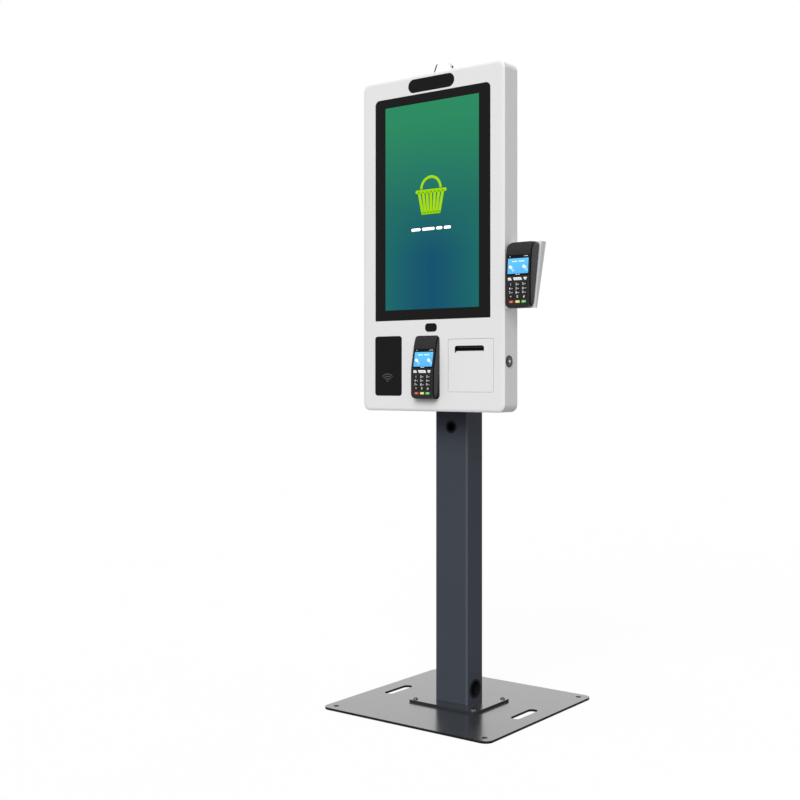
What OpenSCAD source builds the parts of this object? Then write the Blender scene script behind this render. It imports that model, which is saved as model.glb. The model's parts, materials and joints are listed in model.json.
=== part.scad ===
// Self checkout kiosk: a slim touch-screen head on a rectangular column with a square base plate.
// Millimetres, +Z up, the front faces -Y, the origin is the centre of the base plate's underside.

/* [Base plate] */
// Width of the base plate
base_w = 510; // [400:10:600]
// Depth of the base plate
base_d = 510; // [420:10:600]
// Thickness of the base plate
base_t = 6; // [4:1:12]
// Radius of the base plate's corners
base_corner_r = 22; // [10:1:40]
// Diameter of the floor-anchor holes
anchor_d = 14; // [8:1:18]
// Distance from the plate's edges to the anchor holes
anchor_inset = 27; // [20:1:40]
// Length of a hand slot
hand_slot_l = 105; // [80:5:130]
// Width of a hand slot
hand_slot_w = 26; // [20:1:34]
// Distance from the plate's side edge to the slot's centre line
hand_slot_inset = 56; // [35:1:60]

/* [Column] */
// Width of the column tube
column_w = 100; // [90:1:120]
// Depth of the column tube
column_d = 74; // [58:1:90]
// Wall of the column tube
column_wall = 3; // [2:0.5:5]
// Outside corner radius of the column tube
column_corner_r = 5; // [5:0.5:10]
// Length of the column tube
column_l = 1190; // [1150:10:1300]
// Width of the foot flange
flange_w = 207; // [190:1:240]
// Depth of the foot flange
flange_d = 165; // [150:1:200]
// Thickness of the foot flange
flange_t = 6; // [5:1:12]
// Distance from the flange's edges to its bolts
flange_bolt_inset = 13; // [11:1:18]
// Diameter of the flange bolts' threads
flange_bolt_d = 8; // [6:1:10]
// Diameter of the cable hole low in the column's right side
entry_hole_d = 44; // [30:1:46]
// Height of the lower cable hole's centre above the floor
entry_hole_z = 47; // [44:1:80]
// Diameter of the cable hole high in the column's front
outlet_hole_d = 28; // [20:1:40]
// Distance from the head's lower edge down to the upper cable hole's centre
outlet_hole_drop = 42; // [30:1:60]
// How far a grommet's rims stand past its hole
grommet_rim = 2.6; // [2:0.2:4]
// Wall of a grommet's neck
grommet_neck = 3; // [2:0.5:4]
// Thickness of a grommet's rims
grommet_t = 1.5; // [1:0.5:3]

/* [Head] */
// Height of the head's lower edge above the floor
head_bottom_z = 769; // [700:1:850]
// Depth of the head's side walls
head_d = 60; // [58:1:80]
// Wall of the front housing
head_wall = 3; // [2.5:0.5:4]
// Radius of the head's corners seen from the front
head_corner_r = 20; // [16:1:30]
// Radius of the head's front edge
head_edge_r = 9; // [5:1:11]
// Width of the LCD panel
lcd_w = 318; // [300:1:330]
// Height of the LCD panel
lcd_h = 546; // [530:1:556]
// Thickness of the LCD panel
lcd_t = 14; // [10:1:18]
// How far the touch glass reaches past the LCD panel at each side
glass_side_border = 20; // [16:1:26]
// How far the touch glass reaches past the LCD panel at its top and bottom
glass_end_border = 15.75; // [12:0.25:22]
// Thickness of the touch glass
glass_t = 3; // [2:0.5:3]
// Radius of the touch glass's corners
glass_corner_r = 13; // [4:1:14]
// Margin from the glass to the head's sides
side_margin = 41; // [36:1:60]
// Margin from the glass to the head's top
top_margin = 49; // [47:1:70]
// Height of the control panel below the glass
panel_h = 233.5; // [228:0.5:260]
// Depth of the service box behind the head
rear_box_d = 24; // [24:0.5:40]
// Width of the service box
rear_box_w = 330; // [320:1:350]
// Height of the service box
rear_box_h = 450; // [440:1:480]
// Thickness of the rear cover's sheet
cover_t = 2; // [1.5:0.5:3]
// Thickness of the bracket between the service box and the column
bracket_t = 6; // [5:1:10]
// Width of that bracket
bracket_w = 180; // [170:1:200]
// Height of that bracket
bracket_h = 260; // [220:1:300]

/* [Windows] */
// Width of the camera window above the glass
camera_w = 143; // [120:1:160]
// Height of the camera window
camera_h = 34; // [26:1:35]
// Distance from the head's top down to the camera window
camera_top_gap = 9.5; // [9:0.5:11]
// Width of the scanner window below the glass
scanner_w = 36; // [28:1:44]
// Height of the scanner window
scanner_h = 21; // [16:1:23]
// Distance from the glass down to the scanner window
scanner_gap = 10; // [8:1:12]
// Width of the contactless reader panel
reader_w = 87; // [70:1:90]
// Height of the contactless reader panel
reader_h = 154.5; // [140:0.5:165]
// Distance from the head's left side to the reader panel
reader_left_gap = 40; // [38:1:46]
// Height of the control row's centre above the head's lower edge
row_centre_h = 116; // [112:1:120]
// Thickness of the black windows and panels set into the front
window_t = 3; // [2:0.5:3]
// Clearance around parts set into the front
set_in_gap = 0.3; // [0.2:0.1:0.6]

/* [Printer] */
// Width of the printer door
door_w = 134; // [128:1:138]
// Height of the printer door
door_h = 131.5; // [126:0.5:140]
// Distance from the head's right side to the door
door_right_gap = 32; // [30:1:36]
// Width of the groove around the door
door_gap = 1.5; // [1.4:0.1:2.5]
// Thickness of the door's plate
door_t = 3; // [2.5:0.5:3.5]
// Distance from the door's hinge edge to its pivot
pivot_inset = 12; // [11:1:14]
// Distance from the front face back to the door's pivot
pivot_depth = 5.5; // [5:0.1:6]
// Diameter of the door's pivot pins
pivot_d = 4; // [3:0.5:4]
// Width of the recess around the paper slot
recess_w = 87.5; // [84:0.5:92]
// Height of the recess
recess_h = 18.5; // [17:0.5:21]
// Depth of the recess
recess_d = 7.5; // [6:0.5:9]
// Height of the slope at the recess's foot
ramp_h = 5.5; // [4:0.5:7]
// Height of the paper slot
slot_h = 5; // [4.5:0.5:6]
// Width of the paper
paper_w = 79.5; // [76:0.5:80]
// Diameter of a full paper roll
roll_d = 50; // [40:1:51]
// Diameter of the platen roller
platen_d = 16; // [12:1:18]
// Diameter of the platen roller's shaft
platen_shaft_d = 6; // [4:1:8]

/* [Lock] */
// Diameter of the lock's outer ring
lock_ring_d = 29; // [24:1:32]
// Diameter of the lock's barrel
lock_barrel_d = 19; // [18:1:20]
// Diameter of the lock's turning plug
lock_plug_d = 13; // [10:1:14]
// Distance from the front face back to the lock's centre
lock_depth = 20.5; // [20:0.5:22]
// Height of the lock's centre above the control row's centre
lock_rise = 9.5; // [6:0.5:14]
// Reach of the lock's cam
cam_reach = 16; // [14:0.5:16]
// Width of the lock's cam
cam_w = 10; // [8:0.5:10]
// Thickness of the lock's cam
cam_t = 3; // [2:0.5:4]

/* [Status lamp] */
// Width of the lamp at its foot
lamp_foot_w = 62; // [50:1:80]
// Width of the lamp at its top
lamp_top_w = 42; // [36:1:48]
// Height of the lamp
lamp_h = 32; // [24:1:40]
// Depth of the lamp
lamp_d = 16; // [12:1:20]
// Thickness of the lamp's end caps and foot
lamp_cap_t = 4; // [3:0.5:5]
// Sideways offset of the lamp
lamp_x = 5; // [-20:1:20]

/* [Terminals] */
// Width of a payment terminal
term_w = 76; // [74:1:80]
// Height of a payment terminal
term_h = 160; // [158:1:166]
// Thickness of a terminal at its foot
term_foot_t = 13; // [12.5:0.5:16]
// Thickness of a terminal at its top
term_top_t = 42; // [38:1:46]
// Height at which a terminal's face starts to curve back
term_face_h = 128; // [128:1:132]
// How far a terminal's face runs back at its top
term_top_run = 22; // [16:1:26]
// Radius of a terminal's corners
term_corner_r = 10; // [8:1:12]
// Wall of a terminal's casing
term_wall = 2.5; // [2:0.1:2.6]
// Sideways place of the front terminal
front_term_x = -11.5; // [-16:0.5:-8]
// How far the front terminal's face stands out from the head
front_term_proud = 22; // [20:0.5:26]
// How far the side terminal's face stands out from the head's front plane
side_term_proud = 8; // [4:0.5:14]
// Gap between the head's side and the side terminal
side_term_gap = 4; // [3:0.5:8]
// Height of the side terminal's foot above the head's lower edge
side_term_rise = 254; // [230:1:400]
// How far the side bracket reaches past the side terminal
side_bracket_margin = 4.5; // [3:0.5:8]
// Depth of the side bracket at its foot
side_bracket_foot_d = 7; // [6:0.5:12]
// Depth of the side bracket at its top
side_bracket_top_d = 20; // [16:1:26]

/* [Keys] */
// Width of a number key
key_w = 15; // [12:0.5:15.5]
// Height of a number key
key_h = 7; // [5:0.5:7.5]
// Distance between key columns
key_pitch_x = 18.5; // [17.5:0.5:19]
// Distance between key rows
key_pitch_z = 10; // [9.5:0.5:10]
// Height of the lowest number row above the terminal's foot
number_row_z = 26; // [25:0.5:27]
// Height of the coloured keys above the terminal's foot
colour_row_z = 14.5; // [14:0.5:15]
// Height of the function keys above the terminal's foot
function_row_z = 69; // [68:0.5:70]
// Width of the two outer function keys
small_key_w = 11; // [9:0.5:12]
// Width of the middle function key
wide_key_w = 26; // [22:0.5:27]
// Travel of a key
key_travel = 1.2; // [0.6:0.1:1.4]
// Clearance around a key
key_gap = 0.3; // [0.2:0.05:0.4]
// How far a key stands out
key_proud = 1.3; // [1:0.1:2]

/* [Hidden] */

$fn = 48;
hull_fn = 32;
cut = 1;                       // how far a cutting body runs past the face it cuts
running_gap = 0.05;            // radial clearance of a pin or shaft that turns
seat_gap = 0.3;                // clearance between a loose part and its seat

// Head, from the front face back
glass_w = lcd_w + 2 * glass_side_border;
glass_h = lcd_h + 2 * glass_end_border;
head_w = glass_w + 2 * side_margin;
head_h = top_margin + glass_h + panel_h;
head_top_z = head_bottom_z + head_h;
head_mid_z = head_bottom_z + head_h / 2;
column_front_y = -column_d / 2;
box_back_y = column_front_y - bracket_t;
head_back_y = box_back_y - rear_box_d;
front_y = head_back_y - head_d;
front_inner_y = front_y + head_wall;
glass_top_z = head_top_z - top_margin;
glass_mid_z = glass_top_z - glass_h / 2;
glass_bottom_z = glass_top_z - glass_h;
camera_z = head_top_z - camera_top_gap - camera_h / 2;
scanner_z = glass_bottom_z - scanner_gap - scanner_h / 2;
row_z = head_bottom_z + row_centre_h;
reader_x = -head_w / 2 + reader_left_gap + reader_w / 2;
door_x = head_w / 2 - door_right_gap - door_w / 2;
set_in_r = 3;                  // corner radius of the reader panel and the door
back_plate_t = 2.5;            // plates that carry the windows behind the front
back_plate_rim = 2.5;          // how far those plates lap behind the front
frame_rim_side = 12;           // how far the display frame laps behind the front at the sides
frame_rim_end = 2.5;           // the same at its top and bottom
frame_t = 2;
frame_wall = 2;
frame_d = lcd_t + 2;

camera_block = [110, 22, 18];  // width, height and depth of the block behind each window
scanner_block = [34, 18, 26];
reader_block = [60, 100, 6];

// Rear
inner_gap = 0.3;               // clearance between the rear cover and the side walls
ledge_w = 12;                  // inner ledge that the rear cover is screwed to
ledge_t = 3;
ledge_y = head_back_y - cover_t - ledge_t;
rear_box_rise = 21;            // from the head's lower edge up to the service box
rear_box_z = head_bottom_z + rear_box_rise;
box_mid_z = rear_box_z + rear_box_h / 2;
rear_box_r = 8;
bracket_rise = 200;            // from the service box's foot up to the bracket's middle
bracket_z = rear_box_z + bracket_rise;
screw_d = 4;
screw_head_d = 7.5;
screw_head_t = 2.4;
screw_l = 4.6;
cover_screw_x = head_w / 2 - head_wall - ledge_w / 2;
cover_screw_inset = 8;
cover_screw_end = head_corner_r + cover_screw_inset;
cover_screw_zs = [for (i = [0:4]) head_bottom_z + cover_screw_end + i * (head_h - 2 * cover_screw_end) / 4];
bracket_bolt_d = 8;
bracket_bolt_head_d = 14;
bracket_bolt_head_t = 4.4;
outer_bolt_inset = 15;
inner_bolt_inset = 20;
bracket_bolt_inset = 25;       // from the bracket's ends to its bolts
outer_bolt_x = bracket_w / 2 - outer_bolt_inset;
inner_bolt_x = column_w / 2 - inner_bolt_inset;
bracket_bolt_dz = bracket_h / 2 - bracket_bolt_inset;
column_top_z = base_t + column_l;
cap_t = 3;
cap_skirt = 12;
nut_t = 5;
nut_across = 15;
bolt_end = 1;                  // how far a bolt runs past its nut or wall

// Column holes and foot
outlet_hole_z = head_bottom_z - outlet_hole_drop;
flange_bolt_x = flange_w / 2 - flange_bolt_inset;
flange_bolt_y = flange_d / 2 - flange_bolt_inset;
flange_corner_r = 5;
bolt_head_d = 13;
bolt_head_t = 3.4;
bolt_play = 0.5;
thread_gap = 0.05;
anchor_x = base_w / 2 - anchor_inset;
anchor_y = base_d / 2 - anchor_inset;
anchor_chamfer = 1;
hand_slot_x = base_w / 2 - hand_slot_inset;

// Printer
door_left_x = door_x - door_w / 2;
door_back_y = front_y + door_t;
pivot_x = door_left_x + pivot_inset;
pivot_y = front_y + pivot_depth;
door_top_z = row_z + door_h / 2;
door_bottom_z = row_z - door_h / 2;
ear_h = 8;
ear_w = 8;
ear_inset = 1;
lug_h = 7.5;
lug_gap = 0.5;
slot_offset = 4;               // how far the paper slot lies left of the door's middle
recess_drop = 16.5;            // from the door's top down to the recess
slot_drop = 7;                 // from the recess's top down to the slot's middle
slot_x = door_x - slot_offset;
recess_top_z = door_top_z - recess_drop;
recess_z = recess_top_z - recess_h / 2;
recess_foot_z = recess_top_z - recess_h;
recess_back_y = front_y + recess_d;
recess_r = 2;
slot_z = recess_top_z - slot_drop;
slot_flange = 2.5;             // how far the liner's rear rim laps behind the door
liner_wall = 1;
liner_rim_t = 2;
liner_back_t = 1.5;
ramp_root = 2;                 // how far the slope's body reaches below the recess
paper_play = 2.5;
slot_w = paper_w + paper_play;
sleeve_gap = 1;                // from the door's opening out to the printer's sleeve
printer_rim = 8;
printer_wall = 2;
printer_depth = 50;
bucket_rear_gap = 7.5;         // room for the bracket's nuts behind the bucket
bucket_front_gap = 17;         // room for the door's parts in front of it
bucket_back_y = box_back_y - cover_t - bucket_rear_gap;
bucket_front_y = front_y + bucket_front_gap;
cheek_t = 3;
cheek_gap = 0.6;
roll_x = slot_x;
roll_seat_gap = 0.4;
bucket_wall = 4;
bucket_floor_drop = 3;
bucket_floor_t = 8;
roll_y = bucket_back_y - roll_d / 2 - bucket_wall;
bucket_floor_z = door_bottom_z - bucket_floor_drop;
roll_z = bucket_floor_z + bucket_floor_t + roll_d / 2;
roll_core_d = 13;
platen_depth = 21;             // from the front face back to the platen's middle
platen_drop = 2;
cheek_rise = 6;                // how far the cheeks reach above the platen
platen_y = front_y + platen_depth;
platen_z = slot_z - platen_drop;
cheek_top_z = platen_z + platen_d / 2 + cheek_rise;
cheek_x = paper_w / 2 + cheek_gap;
print_head_d = 10;
print_head_h = 17;

// Lock
lock_y = front_y + lock_depth;
lock_z = row_z + lock_rise;
lock_ring_t = 2;
lock_plug_proud = 0.5;
lock_nut_t = 5;
lock_nut_across = 25;
cam_hub_d = 18;
cam_inset = 9;                 // from the door's free edge in to the cam
barrel_gap = 4;                // from the cam to the barrel's end
cam_x = door_x + door_w / 2 - cam_inset;
barrel_end_x = cam_x + cam_t + barrel_gap;
key_slot_w = 2;
key_slot_h = 8;
key_slot_d = 3;
hook_gap = 0.6;                // clearance between the cam and the door's hook
hook_t = 3;
hook_w = 7;
hook_side_gap = 1;
hook_rise = cam_hub_d / 2 + hook_side_gap;

// Lamp and electronics
lamp_inset = 1;
lamp_y = head_back_y - lamp_d / 2 - lamp_inset;
lamp_shoulder_r = 6;
lamp_foot_t = 2;
vent_count = 8;
vent_w = 70;
vent_h = 3.5;
vent_pitch = 9;
vent_x = 90;
vent_drop = 200;
vent_z = head_top_z - vent_drop;
board_w = 200;
board_h = 105;
board_t = 1.6;
board_margin = 11;
board_z = rear_box_z + rear_box_h - cover_t - board_h / 2 - board_margin;
board_parts = [                // x from and to, height, z from and to, of the board's blocks
    [-30, 20, 12, -25, 25],
    [40, 85, 8, -35, 30],
    [-85, -50, 10, -20, 40]
];
supply_w = 60;
supply_h = 160;
supply_d = 32;
supply_gap = 6;                // from the service box's wall to the power supply
speaker_w = 64;
speaker_d = 40;
speaker_h = 22;
speaker_cone_d = 30;
speaker_cone_h = 8;
speaker_slot_w = 3;
speaker_slot_l = 28;
speaker_slot_pitch = 6;
post_d = 6;
post_l = 5;
post_inset = 8;
post_y = box_back_y - cover_t - post_l;
speaker_xs = [reader_x, door_x];
speaker_depth = 30;            // from the front face back to a loudspeaker's middle
speaker_y = front_y + speaker_depth;

// Terminals
term_r = (pow(term_top_run, 2) + pow(term_h - term_face_h, 2)) / (2 * term_top_run);
term_turn = 2 * atan(term_top_run / (term_h - term_face_h));
term_foot_r = 6;
term_tilt = atan((term_top_t - term_foot_t) / term_h);
term_display_w = 62;
term_display_rim = 1;
term_display_z0 = 77;
term_display_z1 = term_face_h - term_display_rim;
term_display_gap = 0.1;
key_corner_r = 2;
key_flange = 0.8;
key_flange_t = 1.4;
key_back_gap = 0.1;
key_stop_gap = 0.2;
function_key_gap = 3;
function_key_x = wide_key_w / 2 + function_key_gap + small_key_w / 2;
term_board_y = term_wall + key_back_gap + key_flange_t + key_travel + key_stop_gap;
term_board_t = 1.6;
term_chip = [40, 4, 50];       // width, depth and height of the block on a terminal's board
term_chip_z = 60;
card_slot_w = 55;
card_slot_t = 2.4;
card_slot_y = 8;
front_term_y = front_y - front_term_proud;
front_term_drop = 84;          // from the control row's middle down to the terminal's foot
front_term_z = row_z - front_term_drop;
side_term_x = head_w / 2 + side_term_gap + term_w / 2;
side_term_y = front_y - side_term_proud;
side_term_z = head_bottom_z + side_term_rise;
cradle_rim = 7;
cradle_gap = 0.5;
cradle_wall = 2.5;
side_bracket_wall = 2.5;
side_bracket_over = 1;         // how far the bracket reaches past the terminal's foot and top
side_screw_drops = [80, 20];   // from the terminal's top down to the bracket's screws
side_screw_zs = [for (drop = side_screw_drops) term_h - drop];

white = [0.89, 0.89, 0.89];
black = [0.13, 0.13, 0.13];
anthracite = [0.26, 0.27, 0.31];
plate_grey = [0.40, 0.41, 0.42];
steel = [0.75, 0.76, 0.78];
case_grey = [0.21, 0.21, 0.22];
board_green = [0.10, 0.35, 0.20];

// ---- Shared shapes ----

// A box from its lowest to its highest corner.
module block(x, y, z) {
    translate([x[0], y[0], z[0]])
        cube([x[1] - x[0], y[1] - y[0], z[1] - z[0]]);
}

// A rectangle with round corners, centred.
module round_rect(w, h, r) {
    union() {
        square([w - 2 * r, h], center = true);
        square([w, h - 2 * r], center = true);
        for (sx = [-1, 1], sz = [-1, 1])
            translate([sx * (w / 2 - r), sz * (h / 2 - r)])
                circle(r);
    }
}

// Children are drawn in X and Z, and fill from y[0] to y[1].
module along_y(y) {
    translate([0, y[1], 0])
        rotate([90, 0, 0])
            linear_extrude(y[1] - y[0])
                children();
}

// Children are drawn in Y and Z, and fill from x[0] to x[1].
module along_x(x) {
    translate([x[0], 0, 0])
        rotate([90, 0, 90])
            linear_extrude(x[1] - x[0])
                children();
}

// A round bar along X, Y or Z.
module bar_x(d, x, y, z) {
    translate([x[0], y, z])
        rotate([0, 90, 0])
            cylinder(d = d, h = x[1] - x[0]);
}

module bar_y(d, x, y, z) {
    translate([x, y[1], z])
        rotate([90, 0, 0])
            cylinder(d = d, h = y[1] - y[0]);
}

module bar_z(d, x, y, z) {
    translate([x, y, z[0]])
        cylinder(d = d, h = z[1] - z[0]);
}

// A plate with round corners that faces the front.
module front_plate(w, h, r, x, z, y) {
    translate([x, 0, z])
        along_y(y)
            round_rect(w, h, r);
}

// A cap screw that points along +Z, its head's underside at z = 0.
module cap_screw(d, length, head_d, head_t) {
    difference() {
        union() {
            bar_z(d, 0, 0, [0, length]);
            bar_z(head_d, 0, 0, [-head_t, 0]);
        }
        translate([0, 0, -head_t - cut])
            cylinder(d = head_d * 0.5, h = head_t * 0.6 + cut, $fn = 6);
    }
}

// A rubber ring that lines a round hole in a wall, along +Z from the wall's outer face at z = 0.
module grommet(hole_d, wall) {
    neck_r = hole_d / 2 - thread_gap;
    bore_r = hole_d / 2 - grommet_neck;
    rim_r = hole_d / 2 + grommet_rim;
    rotate_extrude()
        polygon([
            [bore_r, -grommet_t], [rim_r, -grommet_t], [rim_r, 0], [neck_r, 0],
            [neck_r, wall], [rim_r, wall], [rim_r, wall + grommet_t], [bore_r, wall + grommet_t]
        ]);
}

function arc(cx, cy, r, a0, a1, n) =
    [for (i = [0:n]) [cx + r * cos(a0 + i * (a1 - a0) / n), cy + r * sin(a0 + i * (a1 - a0) / n)]];

// ---- Base and column ----

module base_plate() {
    color(plate_grey)
        difference() {
            linear_extrude(base_t)
                round_rect(base_w, base_d, base_corner_r);
            for (sx = [-1, 1], sy = [-1, 1])
                translate([sx * anchor_x, sy * anchor_y, 0]) {
                    bar_z(anchor_d, 0, 0, [-cut, base_t + cut]);
                    translate([0, 0, base_t - anchor_chamfer])
                        cylinder(r1 = anchor_d / 2, r2 = anchor_d / 2 + anchor_chamfer + cut,
                                 h = anchor_chamfer + cut);
                }
            for (sx = [-1, 1])
                translate([sx * hand_slot_x, 0, -cut])
                    linear_extrude(base_t + 2 * cut)
                        round_rect(hand_slot_w, hand_slot_l, hand_slot_w / 2 - 0.01);
            for (sx = [-1, 1], sy = [-1, 1])
                bar_z(flange_bolt_d + 2 * thread_gap, sx * flange_bolt_x, sy * flange_bolt_y,
                      [-cut, base_t + cut]);
        }
}

module column() {
    color(anthracite)
        difference() {
            union() {
                translate([0, 0, base_t])
                    linear_extrude(flange_t)
                        round_rect(flange_w, flange_d, flange_corner_r);
                translate([0, 0, base_t])
                    linear_extrude(column_l)
                        round_rect(column_w, column_d, column_corner_r);
            }
            translate([0, 0, base_t - cut])
                linear_extrude(column_l + 2 * cut)
                    round_rect(column_w - 2 * column_wall, column_d - 2 * column_wall,
                               column_corner_r - column_wall);
            for (sx = [-1, 1], sy = [-1, 1])
                bar_z(flange_bolt_d + 2 * bolt_play, sx * flange_bolt_x, sy * flange_bolt_y,
                      [base_t - cut, base_t + flange_t + cut]);
            bar_x(entry_hole_d, [column_w / 2 - column_wall - cut, column_w / 2 + cut], 0, entry_hole_z);
            bar_y(outlet_hole_d, 0, [column_front_y - cut, column_front_y + column_wall + cut],
                  outlet_hole_z);
            for (sx = [-1, 1], sz = [-1, 1])
                bar_y(bracket_bolt_d + 2 * thread_gap, sx * inner_bolt_x,
                      [column_front_y - cut, column_front_y + column_wall + cut],
                      bracket_z + sz * bracket_bolt_dz);
        }
}

module flange_bolts() {
    color(steel)
        for (sx = [-1, 1], sy = [-1, 1])
            translate([sx * flange_bolt_x, sy * flange_bolt_y, base_t + flange_t])
                mirror([0, 0, 1])
                    cap_screw(flange_bolt_d, base_t + flange_t - bolt_play, bolt_head_d, bolt_head_t);
}

module cable_grommets() {
    color(black) {
        translate([column_w / 2, 0, entry_hole_z])
            rotate([0, -90, 0])
                grommet(entry_hole_d, column_wall);
        translate([0, column_front_y, outlet_hole_z])
            rotate([-90, 0, 0])
                grommet(outlet_hole_d, column_wall);
    }
}

module column_cap() {
    skirt_w = column_w - 2 * column_wall - 2 * inner_gap;
    skirt_d = column_d - 2 * column_wall - 2 * inner_gap;
    skirt_r = column_corner_r - column_wall;
    color(black)
        union() {
            translate([0, 0, column_top_z])
                linear_extrude(cap_t)
                    round_rect(column_w, column_d, column_corner_r);
            translate([0, 0, column_top_z - cap_skirt])
                linear_extrude(cap_skirt)
                    difference() {
                        round_rect(skirt_w, skirt_d, skirt_r);
                        square([skirt_w - 2 * cap_t, skirt_d - 2 * cap_t], center = true);
                    }
        }
}

// ---- Head bracket ----

// Four places at x either side of the middle: the head's bolts or the column's.
module bracket_bolt_places(x) {
    for (sx = [-1, 1], sz = [-1, 1])
        translate([sx * x, 0, bracket_z + sz * bracket_bolt_dz])
            children();
}

module head_bracket() {
    color(anthracite)
        difference() {
            front_plate(bracket_w, bracket_h, flange_corner_r, 0, bracket_z,
                        [box_back_y, column_front_y]);
            bracket_bolt_places(outer_bolt_x)
                bar_y(bracket_bolt_d + 2 * bolt_play, 0, [box_back_y - cut, column_front_y + cut], 0);
            bracket_bolt_places(inner_bolt_x)
                bar_y(bracket_bolt_d + 2 * bolt_play, 0, [box_back_y - cut, column_front_y + cut], 0);
        }
}

module bracket_bolts() {
    outer_l = bracket_t + cover_t + nut_t + bolt_end;
    inner_l = bracket_t + cover_t + column_wall + bolt_end;
    color(steel) {
        bracket_bolt_places(outer_bolt_x) {
            translate([0, column_front_y, 0])
                rotate([90, 0, 0])
                    cap_screw(bracket_bolt_d, outer_l, bracket_bolt_head_d, bracket_bolt_head_t);
            translate([0, box_back_y - cover_t, 0])
                rotate([90, 0, 0])
                    cylinder(d = nut_across, h = nut_t, $fn = 6);
        }
        bracket_bolt_places(inner_bolt_x)
            translate([0, box_back_y - cover_t, 0])
                rotate([-90, 0, 0])
                    cap_screw(bracket_bolt_d, inner_l, bracket_bolt_head_d, bracket_bolt_head_t);
    }
}

// ---- Head housing ----

// One corner of the head: a round post whose front edge is rounded too.
module head_corner() {
    rotate([90, 0, 0])
        rotate_extrude($fn = hull_fn)
            polygon(concat(
                [[0, 0], [head_corner_r, 0]],
                arc(head_corner_r - head_edge_r, head_d - head_edge_r, head_edge_r, 0, 90, 8),
                [[0, head_d]]
            ));
}

module head_outside() {
    hull()
        for (sx = [-1, 1], sz = [-1, 1])
            translate([sx * (head_w / 2 - head_corner_r), head_back_y,
                       head_mid_z + sz * (head_h / 2 - head_corner_r)])
                head_corner();
}

module front_cutout(w, h, r, x, z, gap) {
    front_plate(w + 2 * gap, h + 2 * gap, r + gap, x, z, [front_y - cut, front_inner_y + cut]);
}

module cover_screw_places() {
    for (sx = [-1, 1], z = cover_screw_zs)
        translate([sx * cover_screw_x, head_back_y, z])
            children();
}

module side_screw_places() {
    for (z = side_screw_zs)
        translate([head_w / 2, side_term_y + side_bracket_mid_y(z), side_term_z + z])
            children();
}

// Distance from a terminal's face back to the middle of the side bracket's hollow at height z.
function side_bracket_mid_y(z) =
    term_back(z) + side_bracket_wall / 2
    + (side_bracket_foot_d + (side_bracket_top_d - side_bracket_foot_d) * z / term_h) / 2;

module front_housing() {
    inner_r = head_corner_r - head_wall;
    color(white)
        difference() {
            head_outside();
            front_plate(head_w - 2 * head_wall, head_h - 2 * head_wall, inner_r, 0, head_mid_z,
                        [front_inner_y, ledge_y]);
            front_plate(head_w - 2 * head_wall - 2 * ledge_w, head_h - 2 * head_wall - 2 * ledge_w,
                        inner_r - ledge_w / 3, 0, head_mid_z, [ledge_y - cut, ledge_y + ledge_t + cut]);
            front_plate(head_w - 2 * head_wall, head_h - 2 * head_wall, inner_r, 0, head_mid_z,
                        [ledge_y + ledge_t, head_back_y + cut]);
            front_cutout(glass_w, glass_h, glass_corner_r, 0, glass_mid_z, set_in_gap);
            front_cutout(camera_w, camera_h, camera_h / 2 - 0.1, 0, camera_z, set_in_gap);
            front_cutout(scanner_w, scanner_h, scanner_h / 2 - 2, 0, scanner_z, set_in_gap);
            front_cutout(reader_w, reader_h, set_in_r, reader_x, row_z, set_in_gap);
            front_cutout(door_w, door_h, set_in_r, door_x, row_z, door_gap);
            front_cutout(term_w, term_h, term_corner_r, front_term_x, front_term_z + term_h / 2,
                         cradle_gap);
            bar_x(lock_barrel_d + 2 * thread_gap, [head_w / 2 - head_wall - cut, head_w / 2 + cut],
                  lock_y, lock_z);
            cover_screw_places()
                bar_y(screw_d + 2 * thread_gap, 0, [-cover_t - ledge_t - cut, cut], 0);
            side_screw_places()
                bar_x(screw_d + 2 * thread_gap, [-head_wall - cut, cut], 0, 0);
            speaker_slots();
        }
}

module speaker_slots() {
    for (x = speaker_xs, i = [-3:3])
        translate([x + i * speaker_slot_pitch, speaker_y, head_bottom_z - cut])
            linear_extrude(head_wall + 2 * cut)
                square([speaker_slot_w, speaker_slot_l], center = true);
}

module rear_cover() {
    cover_w = head_w - 2 * head_wall - 2 * inner_gap;
    cover_h = head_h - 2 * head_wall - 2 * inner_gap;
    plate_y = [head_back_y - cover_t, head_back_y];
    color(white) {
        board_posts();
        difference() {
            union() {
                front_plate(cover_w, cover_h, head_corner_r - head_wall - inner_gap, 0, head_mid_z,
                            plate_y);
                front_plate(rear_box_w, rear_box_h, rear_box_r, 0, box_mid_z,
                            [head_back_y - cut, box_back_y]);
            }
            front_plate(rear_box_w - 2 * cover_t, rear_box_h - 2 * cover_t, rear_box_r - cover_t,
                        0, box_mid_z, [head_back_y - cover_t - cut, box_back_y - cover_t]);
            cover_screw_places()
                bar_y(screw_d + 2 * thread_gap, 0, [-cover_t - cut, cut], 0);
            bracket_bolt_places(outer_bolt_x)
                bar_y(bracket_bolt_d + 2 * bolt_play, 0, [box_back_y - cover_t - cut, box_back_y + cut], 0);
            bracket_bolt_places(inner_bolt_x)
                bar_y(bracket_bolt_d + 2 * bolt_play, 0, [box_back_y - cover_t - cut, box_back_y + cut], 0);
            vent_slots();
        }
    }
}

// Two banks of cooling slots high in the rear cover.
module vent_slots() {
    for (sx = [-1, 1], i = [0:vent_count - 1])
        front_plate(vent_w, vent_h, vent_h / 2 - 0.01, sx * vent_x, vent_z + i * vent_pitch,
                    [head_back_y - cover_t - cut, head_back_y + cut]);
}

module board_posts() {
    for (sx = [-1, 1], sz = [-1, 1])
        bar_y(post_d, sx * (board_w / 2 - post_inset), [post_y, box_back_y - cover_t],
              board_z + sz * (board_h / 2 - post_inset));
}

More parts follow.
